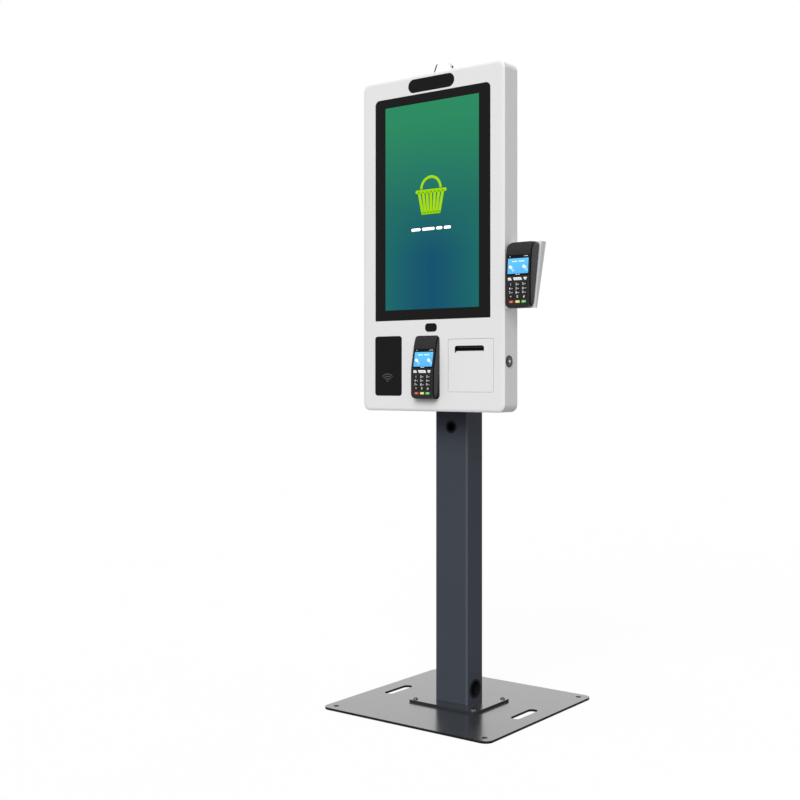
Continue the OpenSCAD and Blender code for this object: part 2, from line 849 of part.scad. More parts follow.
module housing_screws() {
    color(steel) {
        cover_screw_places()
            rotate([90, 0, 0])
                cap_screw(screw_d, screw_l, screw_head_d, screw_head_t);
        side_screw_places()
            translate([side_bracket_wall, 0, 0])
                rotate([0, -90, 0])
                    cap_screw(screw_d, screw_l, screw_head_d, screw_head_t);
    }
}

// ---- Display and windows ----

module touch_glass() {
    color(black)
        front_plate(glass_w, glass_h, glass_corner_r, 0, glass_mid_z,
                    [front_inner_y - glass_t, front_inner_y]);
}

module display_frame() {
    inner_w = lcd_w + 2 * inner_gap;
    inner_h = lcd_h + 2 * inner_gap;
    color(steel)
        difference() {
            union() {
                front_plate(glass_w + 2 * frame_rim_side, glass_h + 2 * frame_rim_end, set_in_r, 0,
                            glass_mid_z, [front_inner_y, front_inner_y + frame_t]);
                front_plate(inner_w + 2 * frame_wall, inner_h + 2 * frame_wall, set_in_r, 0,
                            glass_mid_z, [front_inner_y, front_inner_y + frame_d]);
            }
            front_plate(inner_w, inner_h, 1, 0, glass_mid_z,
                        [front_inner_y - cut, front_inner_y + frame_d + cut]);
        }
}

module lcd_panel() {
    color([0.2, 0.5, 0.4])
        front_plate(lcd_w, lcd_h, 1, 0, glass_mid_z, [front_inner_y, front_inner_y + lcd_t]);
}

module set_in_window(w, h, r, x, z) {
    color(black)
        front_plate(w, h, r, x, z, [front_inner_y - window_t, front_inner_y]);
}

// A carrier plate behind a window, with the module's block on its back.
module window_carrier(w, h, r, x, z, size) {
    back = front_inner_y + back_plate_t;
    union() {
        front_plate(w + 2 * back_plate_rim, h + 2 * back_plate_rim, r, x, z, [front_inner_y, back]);
        front_plate(size[0], size[1], 2, x, z, [back - cut, back + size[2]]);
    }
}

module camera_window() { set_in_window(camera_w, camera_h, camera_h / 2 - 0.1, 0, camera_z); }

module scanner_window() { set_in_window(scanner_w, scanner_h, scanner_h / 2 - 2, 0, scanner_z); }

module reader_panel() { set_in_window(reader_w, reader_h, set_in_r, reader_x, row_z); }

module camera_module() {
    color(board_green)
        window_carrier(camera_w, camera_h, 6, 0, camera_z, camera_block);
}

module scanner_module() {
    color(board_green)
        window_carrier(scanner_w, scanner_h, 4, 0, scanner_z, scanner_block);
}

module reader_board() {
    color(board_green)
        window_carrier(reader_w, reader_h, set_in_r, reader_x, row_z, reader_block);
}

// ---- Printer ----

module door_ear(z) {
    difference() {
        block([pivot_x - ear_w / 2, pivot_x + ear_w / 2], [door_back_y - cut, pivot_y + ear_w / 2], z);
        bar_z(pivot_d + 2 * running_gap, pivot_x, pivot_y, [z[0] - cut, z[1] + cut]);
    }
}

// The catch behind the door's free edge that the lock's cam swings in front of.
module door_hook() {
    leg_x = cam_x - hook_side_gap - hook_t;
    foot_y = lock_y + cam_w / 2 + hook_gap;
    hook_z = [lock_z + hook_rise, lock_z + hook_rise + hook_w];
    block([leg_x, leg_x + hook_t], [door_back_y - cut, foot_y + hook_t], hook_z);
    block([leg_x, cam_x + cam_t + hook_side_gap], [foot_y, foot_y + hook_t], hook_z);
}

// The slope at the recess's foot, which turns the receipt outwards.
module recess_ramp() {
    ramp_x = recess_w / 2 - liner_wall - thread_gap;
    along_x([slot_x - ramp_x, slot_x + ramp_x])
        polygon([
            [front_y, recess_foot_z], [recess_back_y, recess_foot_z + ramp_h],
            [recess_back_y, recess_foot_z - ramp_root], [door_back_y - cut, recess_foot_z - ramp_root]
        ]);
}

module printer_door() {
    color(white)
        union() {
            difference() {
                union() {
                    front_plate(door_w, door_h, set_in_r, door_x, row_z, [front_y, door_back_y]);
                    door_ear([door_top_z - ear_inset - ear_h, door_top_z - ear_inset]);
                    door_ear([door_bottom_z + ear_inset, door_bottom_z + ear_inset + ear_h]);
                    door_hook();
                }
                front_plate(recess_w + 2 * thread_gap, recess_h + 2 * thread_gap, recess_r, slot_x,
                            recess_z, [front_y - cut, door_back_y + cut]);
                for (z = [door_top_z - ear_inset - ear_h, door_bottom_z + ear_inset])
                    bar_z(pivot_d + 2 * running_gap, pivot_x, pivot_y, [z, z + ear_h]);
            }
            recess_ramp();
        }
}

// The black liner of the recess: a top, two sides and a back with the paper slot in it.
module slot_insert() {
    outer_z = [recess_foot_z, recess_top_z];
    inner_x = recess_w / 2 - liner_wall;
    rim_x = recess_w / 2 + slot_flange;
    color(black)
        difference() {
            union() {
                front_plate(recess_w, recess_h, recess_r, slot_x, recess_z,
                            [front_y, recess_back_y + liner_back_t]);
                block([slot_x - rim_x, slot_x + rim_x], [door_back_y, door_back_y + liner_rim_t],
                      [outer_z[0], outer_z[1] + slot_flange]);
            }
            block([slot_x - inner_x, slot_x + inner_x], [front_y - cut, recess_back_y],
                  [outer_z[0] - cut, outer_z[1] - liner_wall]);
            block([slot_x - slot_w / 2, slot_x + slot_w / 2],
                  [recess_back_y - cut, recess_back_y + liner_back_t + cut],
                  [slot_z - slot_h / 2, slot_z + slot_h / 2]);
        }
}

module door_pins() {
    lug_top = door_top_z + door_gap + lug_gap + lug_h;
    lug_bottom = door_bottom_z - door_gap - lug_gap - lug_h;
    color(steel) {
        bar_z(pivot_d, pivot_x, pivot_y, [door_top_z - ear_h, lug_top]);
        bar_z(pivot_d, pivot_x, pivot_y, [lug_bottom, door_bottom_z + ear_h]);
    }
}

module printer_lugs() {
    lug_y = [front_inner_y, pivot_y + ear_w / 2];
    lug_x = [pivot_x - ear_w / 2, pivot_x + ear_w / 2];
    top = door_top_z + door_gap + lug_gap;
    bottom = door_bottom_z - door_gap - lug_gap;
    block(lug_x, lug_y, [top, top + lug_h]);
    block(lug_x, lug_y, [bottom - lug_h, bottom]);
}

// The bucket that the paper roll drops into, and the cheeks that carry the platen roller.
module printer_bucket() {
    bucket_y = [bucket_front_y, bucket_back_y];
    difference() {
        block([roll_x - cheek_x - cheek_t, roll_x + cheek_x + cheek_t], bucket_y, [bucket_floor_z, roll_z]);
        bar_x(roll_d + 2 * roll_seat_gap, [roll_x - cheek_x, roll_x + cheek_x], roll_y, roll_z);
    }
    for (side = [-1, 1])
        difference() {
            translate([roll_x + side * (cheek_x + cheek_t / 2), 0, 0])
                block([-cheek_t / 2, cheek_t / 2], bucket_y, [bucket_floor_z, cheek_top_z]);
            bar_x(platen_shaft_d + 2 * running_gap,
                  [roll_x - cheek_x - cheek_t - cut, roll_x + cheek_x + cheek_t + cut], platen_y, platen_z);
        }
    head_y = platen_y + platen_d / 2 + seat_gap;
    block([roll_x - cheek_x - cheek_t / 2, roll_x + cheek_x + cheek_t / 2], [head_y, head_y + print_head_d],
          [platen_z - print_head_h / 2, platen_z + print_head_h / 2]);
}

module printer_body() {
    hole_w = door_w + 2 * door_gap + 2 * sleeve_gap;
    hole_h = door_h + 2 * door_gap + 2 * sleeve_gap;
    back = front_inner_y + printer_wall;
    color([0.25, 0.26, 0.28])
        difference() {
            union() {
                difference() {
                    union() {
                        front_plate(hole_w + 2 * printer_rim, hole_h + 2 * printer_rim, set_in_r,
                                    door_x, row_z, [front_inner_y, back]);
                        front_plate(hole_w + 2 * printer_wall, hole_h + 2 * printer_wall, set_in_r,
                                    door_x, row_z, [front_inner_y, front_inner_y + printer_depth]);
                    }
                    front_plate(hole_w, hole_h, 1, door_x, row_z,
                                [front_inner_y - cut, front_inner_y + printer_depth + cut]);
                }
                printer_lugs();
                printer_bucket();
            }
            bar_z(pivot_d, pivot_x, pivot_y, [door_bottom_z - 2 * lug_h, door_top_z + 2 * lug_h]);
            bar_x(lock_barrel_d + 1, [door_x + hole_w / 2 - cut, door_x + hole_w / 2 + printer_wall + cut],
                  lock_y, lock_z);
        }
}

module platen_roller() {
    color([0.15, 0.15, 0.16])
        union() {
            bar_x(platen_d, [roll_x - cheek_x + 0.4, roll_x + cheek_x - 0.4], platen_y, platen_z);
            bar_x(platen_shaft_d, [roll_x - cheek_x - cheek_t - 2, roll_x + cheek_x + cheek_t + 2],
                  platen_y, platen_z);
        }
}

module paper_roll() {
    color("white")
        difference() {
            bar_x(roll_d, [roll_x - paper_w / 2, roll_x + paper_w / 2], roll_y, roll_z);
            bar_x(roll_core_d, [roll_x - paper_w / 2 - cut, roll_x + paper_w / 2 + cut], roll_y, roll_z);
        }
}

// ---- Lock ----

module lock_barrel() {
    side_x = head_w / 2;
    color(black)
        difference() {
            union() {
                bar_x(lock_barrel_d, [barrel_end_x, side_x], lock_y, lock_z);
                bar_x(lock_ring_d, [side_x, side_x + lock_ring_t], lock_y, lock_z);
                translate([side_x - head_wall - lock_nut_t, lock_y, lock_z])
                    rotate([0, 90, 0])
                        cylinder(d = lock_nut_across, h = lock_nut_t, $fn = 6);
            }
            bar_x(lock_plug_d + 2 * running_gap, [barrel_end_x - cut, side_x + lock_ring_t + cut],
                  lock_y, lock_z);
        }
}

module lock_cam() {
    outer_x = head_w / 2 + lock_ring_t + lock_plug_proud;
    color(steel)
        difference() {
            union() {
                bar_x(lock_plug_d, [cam_x + cam_t - 0.5, outer_x], lock_y, lock_z);
                bar_x(cam_hub_d, [cam_x, cam_x + cam_t], lock_y, lock_z);
                bar_x(cam_w, [cam_x, cam_x + cam_t], lock_y - cam_reach + cam_w / 2, lock_z);
                block([cam_x, cam_x + cam_t], [lock_y - cam_reach + cam_w / 2, lock_y],
                      [lock_z - cam_w / 2, lock_z + cam_w / 2]);
            }
            block([outer_x - key_slot_d, outer_x + cut], [lock_y - key_slot_w / 2, lock_y + key_slot_w / 2],
                  [lock_z - key_slot_h / 2, lock_z + key_slot_h / 2]);
        }
}

// ---- Status lamp ----

// The lamp seen from the front: sloping sides with round shoulders.
module lamp_outline(foot_w, top_w, z0) {
    hull() {
        translate([-foot_w / 2, z0])
            square([foot_w, 1]);
        for (sx = [-1, 1])
            translate([sx * (top_w / 2 - lamp_shoulder_r), lamp_h - lamp_shoulder_r])
                circle(lamp_shoulder_r, $fn = hull_fn);
    }
}

module at_lamp() {
    translate([lamp_x, lamp_y, head_top_z])
        along_y([-lamp_d / 2, lamp_d / 2])
            children();
}

module status_lamp() {
    color("white")
        at_lamp()
            lamp_outline(lamp_foot_w - 2 * lamp_cap_t, lamp_top_w - 2 * lamp_cap_t, lamp_foot_t);
}

module lamp_caps() {
    color(black)
        at_lamp()
            difference() {
                lamp_outline(lamp_foot_w, lamp_top_w, 0);
                lamp_outline(lamp_foot_w - 2 * lamp_cap_t, lamp_top_w - 2 * lamp_cap_t, lamp_foot_t);
                translate([-lamp_top_w / 2 + lamp_cap_t + lamp_shoulder_r / 2, lamp_h - 1])
                    square([lamp_top_w - 2 * lamp_cap_t - lamp_shoulder_r, 2]);
            }
}

// ---- Electronics ----

module main_board() {
    face_y = post_y - board_t;
    color(board_green)
        union() {
            block([-board_w / 2, board_w / 2], [face_y, post_y],
                  [board_z - board_h / 2, board_z + board_h / 2]);
            for (part = board_parts)
                block([part[0], part[1]], [face_y - part[2], face_y], [board_z + part[3], board_z + part[4]]);
        }
}

module power_supply() {
    x0 = -rear_box_w / 2 + cover_t + supply_gap;
    color(steel)
        block([x0, x0 + supply_w], [box_back_y - cover_t - supply_d, box_back_y - cover_t],
              [box_mid_z - supply_h / 2, box_mid_z + supply_h / 2]);
}

module loudspeakers() {
    floor_z = head_bottom_z + head_wall;
    color(black)
        for (x = speaker_xs)
            difference() {
                block([x - speaker_w / 2, x + speaker_w / 2],
                      [speaker_y - speaker_d / 2, speaker_y + speaker_d / 2],
                      [floor_z, floor_z + speaker_h]);
                bar_z(speaker_cone_d, x, speaker_y, [floor_z - cut, floor_z + speaker_cone_h]);
            }
}

// ---- Payment terminals ----

// Distance from a terminal's face back to its rear at height z.
function term_back(z) = term_foot_t + (term_top_t - term_foot_t) * z / term_h;

// A terminal's side outline, drawn in by i all round.
function term_outline(i) = concat(
    arc(term_foot_r, term_foot_r, term_foot_r - i, 270, 180, 6),
    arc(term_r, term_face_h, term_r - i, 180, 180 - term_turn, 12),
    [[term_back(term_h - i) - i / cos(term_tilt), term_h - i],
     [term_back(i) - i / cos(term_tilt), i]]
);

module term_shape(i) {
    intersection() {
        along_x([-term_w / 2 + i, term_w / 2 - i])
            polygon(term_outline(i));
        front_plate(term_w - 2 * i, term_h - 2 * i, term_corner_r - i, 0, term_h / 2,
                    [-cut, term_top_t + cut]);
    }
}

module key_shape(w, x, z, grow, y) {
    front_plate(w + 2 * grow, key_h + 2 * grow, key_corner_r + grow, x, z, y);
}

module key(w, x, z) {
    flange_y = term_wall + key_back_gap;
    union() {
        key_shape(w, x, z, 0, [-key_proud, flange_y + key_flange_t]);
        key_shape(w, x, z, key_flange, [flange_y, flange_y + key_flange_t]);
    }
}

module terminal_case() {
    hole_y = [-cut, term_wall + cut];
    color(case_grey)
        difference() {
            term_shape(0);
            term_shape(term_wall);
            block([-term_display_w / 2 - term_display_gap, term_display_w / 2 + term_display_gap], hole_y,
                  [term_display_z0 - term_display_gap, term_display_z1 + term_display_gap]);
            for (i = [-1, 0, 1])
                key_shape(function_key_w(i), i * function_key_x, function_row_z, key_gap, hole_y);
            for (i = [-1, 0, 1], row = [0:3])
                key_shape(key_w, i * key_pitch_x, number_row_z + row * key_pitch_z, key_gap, hole_y);
            for (i = [-1, 0, 1])
                key_shape(key_w, i * key_pitch_x, colour_row_z, key_gap, hole_y);
            block([-card_slot_w / 2, card_slot_w / 2],
                  [card_slot_y - card_slot_t / 2, card_slot_y + card_slot_t / 2], hole_y);
        }
}

module terminal_display() {
    color([0.35, 0.7, 1])
        union() {
            block([-term_display_w / 2, term_display_w / 2], [0, term_wall],
                  [term_display_z0, term_display_z1]);
            block([-term_display_w / 2 - term_display_rim, term_display_w / 2 + term_display_rim],
                  [term_wall, term_board_y], [term_display_z0 - term_display_rim, term_face_h]);
        }
}

module terminal_board() {
    half_w = term_w / 2 - term_wall - inner_gap;
    color(board_green)
        union() {
            block([-half_w, half_w], [term_board_y, term_board_y + term_board_t],
                  [term_corner_r, term_face_h]);
            translate([-term_chip[0] / 2, term_board_y + term_board_t, term_chip_z])
                cube(term_chip);
        }
}

// i is -1, 0 or 1: the left, middle or right function key.
function function_key_w(i) = i == 0 ? wide_key_w : small_key_w;

module function_key(i) {
    color("white")
        key(function_key_w(i), i * function_key_x, function_row_z);
}

// Row 1 is the top row.
module number_row(row) {
    color(case_grey)
        for (i = [-1, 0, 1])
            key(key_w, i * key_pitch_x, number_row_z + (4 - row) * key_pitch_z);
}

module colour_key(i, paint) {
    color(paint)
        key(key_w, i * key_pitch_x, colour_row_z);
}

module at_front_terminal() {
    translate([front_term_x, front_term_y, front_term_z])
        children();
}

module at_side_terminal() {
    translate([side_term_x, side_term_y, side_term_z])
        children();
}

// The tray that carries the front terminal: it is clamped behind the front and follows the terminal's back.
module terminal_cradle() {
    inner_y = front_term_proud + head_wall;
    lap_y = inner_y + back_plate_t;
    lap_z = (lap_y - term_foot_t) * term_h / (term_top_t - term_foot_t);
    tray_x = term_w / 2 + cradle_gap + cradle_wall;
    top_z = term_h + cradle_gap;
    foot_z = 3;
    hole_w = term_w + 2 * cradle_gap;
    hole_h = term_h + 2 * cradle_gap;
    color(black)
        at_front_terminal()
            union() {
                intersection() {
                    along_x([-term_w / 2, term_w / 2])
                        polygon([[term_back(foot_z), foot_z], [lap_y, lap_z], [lap_y, foot_z]]);
                    front_plate(term_w, term_h, term_corner_r, 0, term_h / 2, [0, lap_y]);
                }
                difference() {
                    front_plate(hole_w + 2 * cradle_rim, hole_h + 2 * cradle_rim, term_corner_r, 0,
                                term_h / 2, [inner_y, lap_y]);
                    front_plate(hole_w, hole_h, term_corner_r + cradle_gap, 0, term_h / 2,
                                [inner_y - cut, lap_y + cut]);
                }
                along_x([-tray_x, tray_x])
                    polygon([
                        [lap_y, -foot_z], [lap_y, lap_z], [term_back(top_z), top_z],
                        [term_back(top_z) + cradle_wall, top_z], [lap_y + cradle_wall, lap_z],
                        [lap_y + cradle_wall, -foot_z]
                    ]);
                for (side = [-1, 1])
                    translate([side * (tray_x - cradle_wall / 2), 0, 0])
                        along_x([-cradle_wall / 2, cradle_wall / 2])
                            polygon([[lap_y, lap_z], [term_back(top_z), top_z], [lap_y, top_z]]);
                block([-tray_x, tray_x], [inner_y, term_back(top_z) + cradle_wall],
                      [top_z, top_z + cradle_wall]);
            }
}

// The pale wedge that carries the side terminal on the head's right side, open at the back.
module side_bracket() {
    z0 = -side_bracket_over;
    z1 = term_h + side_bracket_over;
    x0 = -term_w / 2 - side_term_gap;
    x1 = term_w / 2 + side_bracket_margin;
    w = side_bracket_wall;
    color([0.78, 0.78, 0.78])
        difference() {
            at_side_terminal()
                difference() {
                    along_x([x0, x1])
                        polygon([
                            [term_back(z0), z0], [term_back(z1), z1],
                            [term_back(z1) + side_bracket_top_d, z1],
                            [term_back(z0) + side_bracket_foot_d, z0]
                        ]);
                    along_x([x0 + w, x1 - w])
                        polygon([
                            [term_back(z0 + w) + w, z0 + w], [term_back(z1 - w) + w, z1 - w],
                            [term_back(z1 - w) + side_bracket_top_d + 2 * w, z1 - w],
                            [term_back(z0 + w) + side_bracket_foot_d + 2 * w, z0 + w]
                        ]);
                }
            side_screw_places()
                bar_x(screw_d + 2 * thread_gap, [-cut, side_bracket_wall + cut], 0, 0);
        }
}

base_plate();
column();
flange_bolts();
cable_grommets();
column_cap();
head_bracket();
bracket_bolts();
front_housing();
rear_cover();
housing_screws();
touch_glass();
display_frame();
lcd_panel();
camera_window();
camera_module();
scanner_window();
scanner_module();
reader_panel();
reader_board();
printer_door();
slot_insert();
door_pins();
printer_body();
platen_roller();
paper_roll();
lock_barrel();
lock_cam();
status_lamp();
lamp_caps();
main_board();
power_supply();
loudspeakers();
terminal_cradle();
side_bracket();
at_front_terminal() terminal_case();  // front_terminal_case
at_front_terminal() terminal_display();  // front_terminal_display
at_front_terminal() terminal_board();  // front_terminal_board
at_front_terminal() function_key(-1);  // front_function_key_left
at_front_terminal() function_key(0);  // front_function_key_middle
at_front_terminal() function_key(1);  // front_function_key_right
at_front_terminal() number_row(1);  // front_number_row_1
at_front_terminal() number_row(2);  // front_number_row_2
at_front_terminal() number_row(3);  // front_number_row_3
at_front_terminal() number_row(4);  // front_number_row_4
at_front_terminal() colour_key(-1, "red");  // front_red_key
at_front_terminal() colour_key(0, "gold");  // front_yellow_key
at_front_terminal() colour_key(1, "green");  // front_green_key
at_side_terminal() terminal_case();  // side_terminal_case
at_side_terminal() terminal_display();  // side_terminal_display
at_side_terminal() terminal_board();  // side_terminal_board
at_side_terminal() function_key(-1);  // side_function_key_left
at_side_terminal() function_key(0);  // side_function_key_middle
at_side_terminal() function_key(1);  // side_function_key_right
at_side_terminal() number_row(1);  // side_number_row_1
at_side_terminal() number_row(2);  // side_number_row_2
at_side_terminal() number_row(3);  // side_number_row_3
at_side_terminal() number_row(4);  // side_number_row_4
at_side_terminal() colour_key(-1, "red");  // side_red_key
at_side_terminal() colour_key(0, "gold");  // side_yellow_key
at_side_terminal() colour_key(1, "green");  // side_green_key
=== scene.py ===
"""Self checkout kiosk: the visible pieces, built around the packed solids.

Metres, +Z up, the front faces -Y, the origin is on the floor at the middle of the base plate.
"""
import json
import math
from types import SimpleNamespace

import bmesh
import bpy
from bpy.props import FloatProperty, FloatVectorProperty, PointerProperty
from mathutils import Matrix, Vector

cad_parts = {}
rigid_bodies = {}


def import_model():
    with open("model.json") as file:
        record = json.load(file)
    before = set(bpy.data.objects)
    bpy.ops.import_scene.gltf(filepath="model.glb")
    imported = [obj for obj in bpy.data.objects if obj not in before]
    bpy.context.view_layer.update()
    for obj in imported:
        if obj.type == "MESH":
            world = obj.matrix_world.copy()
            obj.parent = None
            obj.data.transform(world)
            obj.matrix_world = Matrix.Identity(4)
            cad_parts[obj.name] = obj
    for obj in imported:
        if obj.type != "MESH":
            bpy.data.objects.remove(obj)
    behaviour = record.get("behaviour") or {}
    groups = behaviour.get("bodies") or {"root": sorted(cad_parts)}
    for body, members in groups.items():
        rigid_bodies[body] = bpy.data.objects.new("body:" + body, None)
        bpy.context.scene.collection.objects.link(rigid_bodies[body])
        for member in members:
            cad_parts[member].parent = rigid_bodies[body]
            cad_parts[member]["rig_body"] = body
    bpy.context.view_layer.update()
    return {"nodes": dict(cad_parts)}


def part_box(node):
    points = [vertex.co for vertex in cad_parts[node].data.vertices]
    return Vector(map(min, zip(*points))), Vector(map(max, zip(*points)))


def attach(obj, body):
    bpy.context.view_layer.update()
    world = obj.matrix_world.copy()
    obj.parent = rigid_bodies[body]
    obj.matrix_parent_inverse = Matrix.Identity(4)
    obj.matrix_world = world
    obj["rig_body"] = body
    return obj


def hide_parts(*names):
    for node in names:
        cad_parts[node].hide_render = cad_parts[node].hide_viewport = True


bl_info = {
    "name": "Self Checkout Kiosk",
    "version": (1, 0, 0),
    "blender": (4, 5, 0),
    "location": "View3D > Sidebar > Kiosk",
    "description": "Builds the visible pieces of a self checkout kiosk around its solids",
    "category": "Object",
}

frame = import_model()
MM = 0.001
TINY = 1e-5
RIGHT, BACK, UP = Vector((1, 0, 0)), Vector((0, 1, 0)), Vector((0, 0, 1))


# ---- Sizes and colours that a user may change ----

def length(name, description, default, low=0.0, high=1.0):
    """A length in metres."""
    return FloatProperty(name=name, description=description, default=default, min=low, max=high,
                         subtype="DISTANCE", unit="LENGTH", precision=5)


def share(name, description, default, high=1.0):
    """A plain factor."""
    return FloatProperty(name=name, description=description, default=default, min=0.0, max=high,
                         subtype="FACTOR")


def paint(name, description, red, green, blue):
    """A colour given as it looks on a screen, from 0 to 255."""
    def linear(value):
        value /= 255
        return value / 12.92 if value <= 0.04045 else ((value + 0.055) / 1.055) ** 2.4
    return FloatVectorProperty(name=name, description=description, size=3, min=0.0, max=1.0,
                               default=(linear(red), linear(green), linear(blue)), subtype="COLOR")


class KioskColours(bpy.types.PropertyGroup):
    """Colours of the kiosk's finishes."""

    enamel: paint("Enamel", "White enamel of the head", 226, 226, 227)
    bracket: paint("Bracket enamel", "Pale grey enamel of the side bracket", 205, 206, 208)
    column: paint("Column coating", "Powder coating of the column", 63, 67, 75)
    plate: paint("Plate coating", "Coating of the base plate", 44, 46, 48)
    glass_border: paint("Glass border", "Printed border of the touch glass", 22, 22, 22)
    acrylic: paint("Window acrylic", "Black windows set into the front", 21, 21, 21)
    print_grey: paint("Printed symbol", "Symbol printed on the reader panel", 84, 84, 84)
    screen_top: paint("Screen top", "Colour of the lit screen at its top", 42, 142, 99)
    screen_middle: paint("Screen middle", "Colour of the lit screen at its middle", 28, 111, 104)
    screen_foot: paint("Screen foot", "Colour low in the middle of the lit screen", 10, 83, 113)
    screen_edge: paint("Screen edge", "Colour low at the sides of the lit screen", 22, 108, 107)
    basket: paint("Basket symbol", "Basket symbol on the lit screen", 128, 174, 4)
    terminal: paint("Terminal casing", "Moulded casing of the payment terminals", 33, 33, 34)
    terminal_rail: paint("Terminal rail", "Side rail of the payment terminals", 62, 62, 63)
    display_blue: paint("Terminal display", "Lit display of the payment terminals", 88, 187, 252)
    legend: paint("Key legends", "Numerals on the keys", 232, 232, 232)


class KioskEdges(bpy.types.PropertyGroup):
    """Radii of the edges that the pieces are finished with."""

    sheet_edge: length("Sheet edge", "Edge radius of folded and laser-cut sheet", 0.7 * MM, 0.0, 0.005)
    glass_edge: length("Glass edge", "Ground edge of glass and acrylic", 0.35 * MM, 0.0, 0.002)
    cutout_edge: length("Cutout edge", "Edge radius of the openings in the front", 0.4 * MM, 0.0, 0.002)
    front_roll: length("Front roll", "Width over which the head's front rolls off to its sides",
                       11 * MM, 0.004, 0.02)
    front_arris: length("Front arris", "Radius where the front meets the sides", 1.3 * MM, 0.0003, 0.004)
    key_crown: length("Key crown", "Rise of a key's top above its rim", 0.35 * MM, 0.0, 0.001)


class KioskScreen(bpy.types.PropertyGroup):
    """The lit area of the touch screen."""

    lit_width: length("Lit width", "Width of the lit area", 291.5 * MM, 0.2, 0.34)
    lit_height: length("Lit height", "Height of the lit area", 527 * MM, 0.4, 0.56)
    lit_rise: length("Lit rise", "How far the lit area sits above the glass's middle", 2 * MM, 0.0, 0.02)
    glow: share("Glow", "Strength of the lit screen, where 1 is plain white paper", 0.93, 2.0)


class KioskStage(bpy.types.PropertyGroup):
    """Light, floor and camera."""

    daylight: share("Daylight", "Strength of the light from above and around", 0.65, 3.0)
    key_light: share("Key light", "Strength of the light from the front", 2.12, 10.0)
    floor_whiteness: share("Floor whiteness", "How far the floor melts into the background", 0.92)
    focal_length: FloatProperty(name="Focal length", description="Focal length of the camera",
                                default=53.92, min=10, max=300, unit="CAMERA")


SETTING_GROUPS = {
    "kiosk_colours": KioskColours, "kiosk_edges": KioskEdges,
    "kiosk_screen": KioskScreen, "kiosk_stage": KioskStage,
}


def colours():
    return bpy.context.scene.kiosk_colours


def edges():
    return bpy.context.scene.kiosk_edges


def stage():
    return bpy.context.scene.kiosk_stage


# ---- Shader node groups ----

class Nodes:
    """Short ways to add and join nodes in one tree."""

    spacing = 180

    def __init__(self, tree):
        self.tree = tree
        self.column = 0

    def put(self, target, value):
        """Joins a socket to target, or sets target to a plain value."""
        if isinstance(value, bpy.types.NodeSocket):
            self.tree.links.new(value, target)
        else:
            target.default_value = (*tuple(value)[:3], 1) if target.type == "RGBA" else value

    def add(self, kind, inputs=None, **settings):
        """A new node. inputs holds a socket or a plain value for each input, by its label or number."""
        node = self.tree.nodes.new(kind)
        self.column += 1
        node.location = (self.spacing * self.column, 0)
        for name, value in settings.items():
            setattr(node, name, value)
        for label, value in (inputs or {}).items():
            self.put(node.inputs[label], value)
        return node

    def place(self, **mapping):
        """The position on the object, in metres, moved by a Location and stretched by a Scale if asked."""
        where = self.add("ShaderNodeTexCoord").outputs["Object"]
        if not mapping:
            return where
        return self.add("ShaderNodeMapping", {"Vector": where, **mapping}).outputs["Vector"]

    def noise(self, where, scale, detail=2.0, roughness=0.5):
        inputs = {"Vector": where, "Scale": scale, "Detail": detail, "Roughness": roughness}
        return self.add("ShaderNodeTexNoise", inputs).outputs["Fac"]

    def math(self, operation, *values, clamp=False):
        inputs = dict(enumerate(values))
        return self.add("ShaderNodeMath", inputs, operation=operation, use_clamp=clamp).outputs[0]

    def span(self, value, low, high, to_low=0.0, to_high=1.0):
        inputs = {"Value": value, "From Min": low, "From Max": high, "To Min": to_low, "To Max": to_high}
        return self.add("ShaderNodeMapRange", inputs).outputs["Result"]

    def blend(self, amount, first, second):
        """A mix of two colours, which are inputs 6 and 7 of the node. Output 2 is the mixed colour."""
        mix = self.add("ShaderNodeMix", {"Factor": amount, 6: first, 7: second}, data_type="RGBA")
        return mix.outputs[2]

    def group(self, name, **inputs):
        return self.add("ShaderNodeGroup", inputs, node_tree=bpy.data.node_groups[name]).outputs[0]


def new_group(name, output, **inputs):
    """An empty shader node group: its nodes, the sockets that it is given and the one it puts out."""
    tree = bpy.data.node_groups.new(name, "ShaderNodeTree")
    kinds = {False: "NodeSocketFloat", True: "NodeSocketColor"}
    for label, default in inputs.items():
        kind = kinds[isinstance(default, tuple)]
        tree.interface.new_socket(label, in_out="INPUT", socket_type=kind).default_value = default
    tree.interface.new_socket(output, in_out="OUTPUT", socket_type=kinds[output == "Colour"])
    nodes = Nodes(tree)
    return nodes, nodes.add("NodeGroupInput").outputs, nodes.add("NodeGroupOutput").inputs[output]


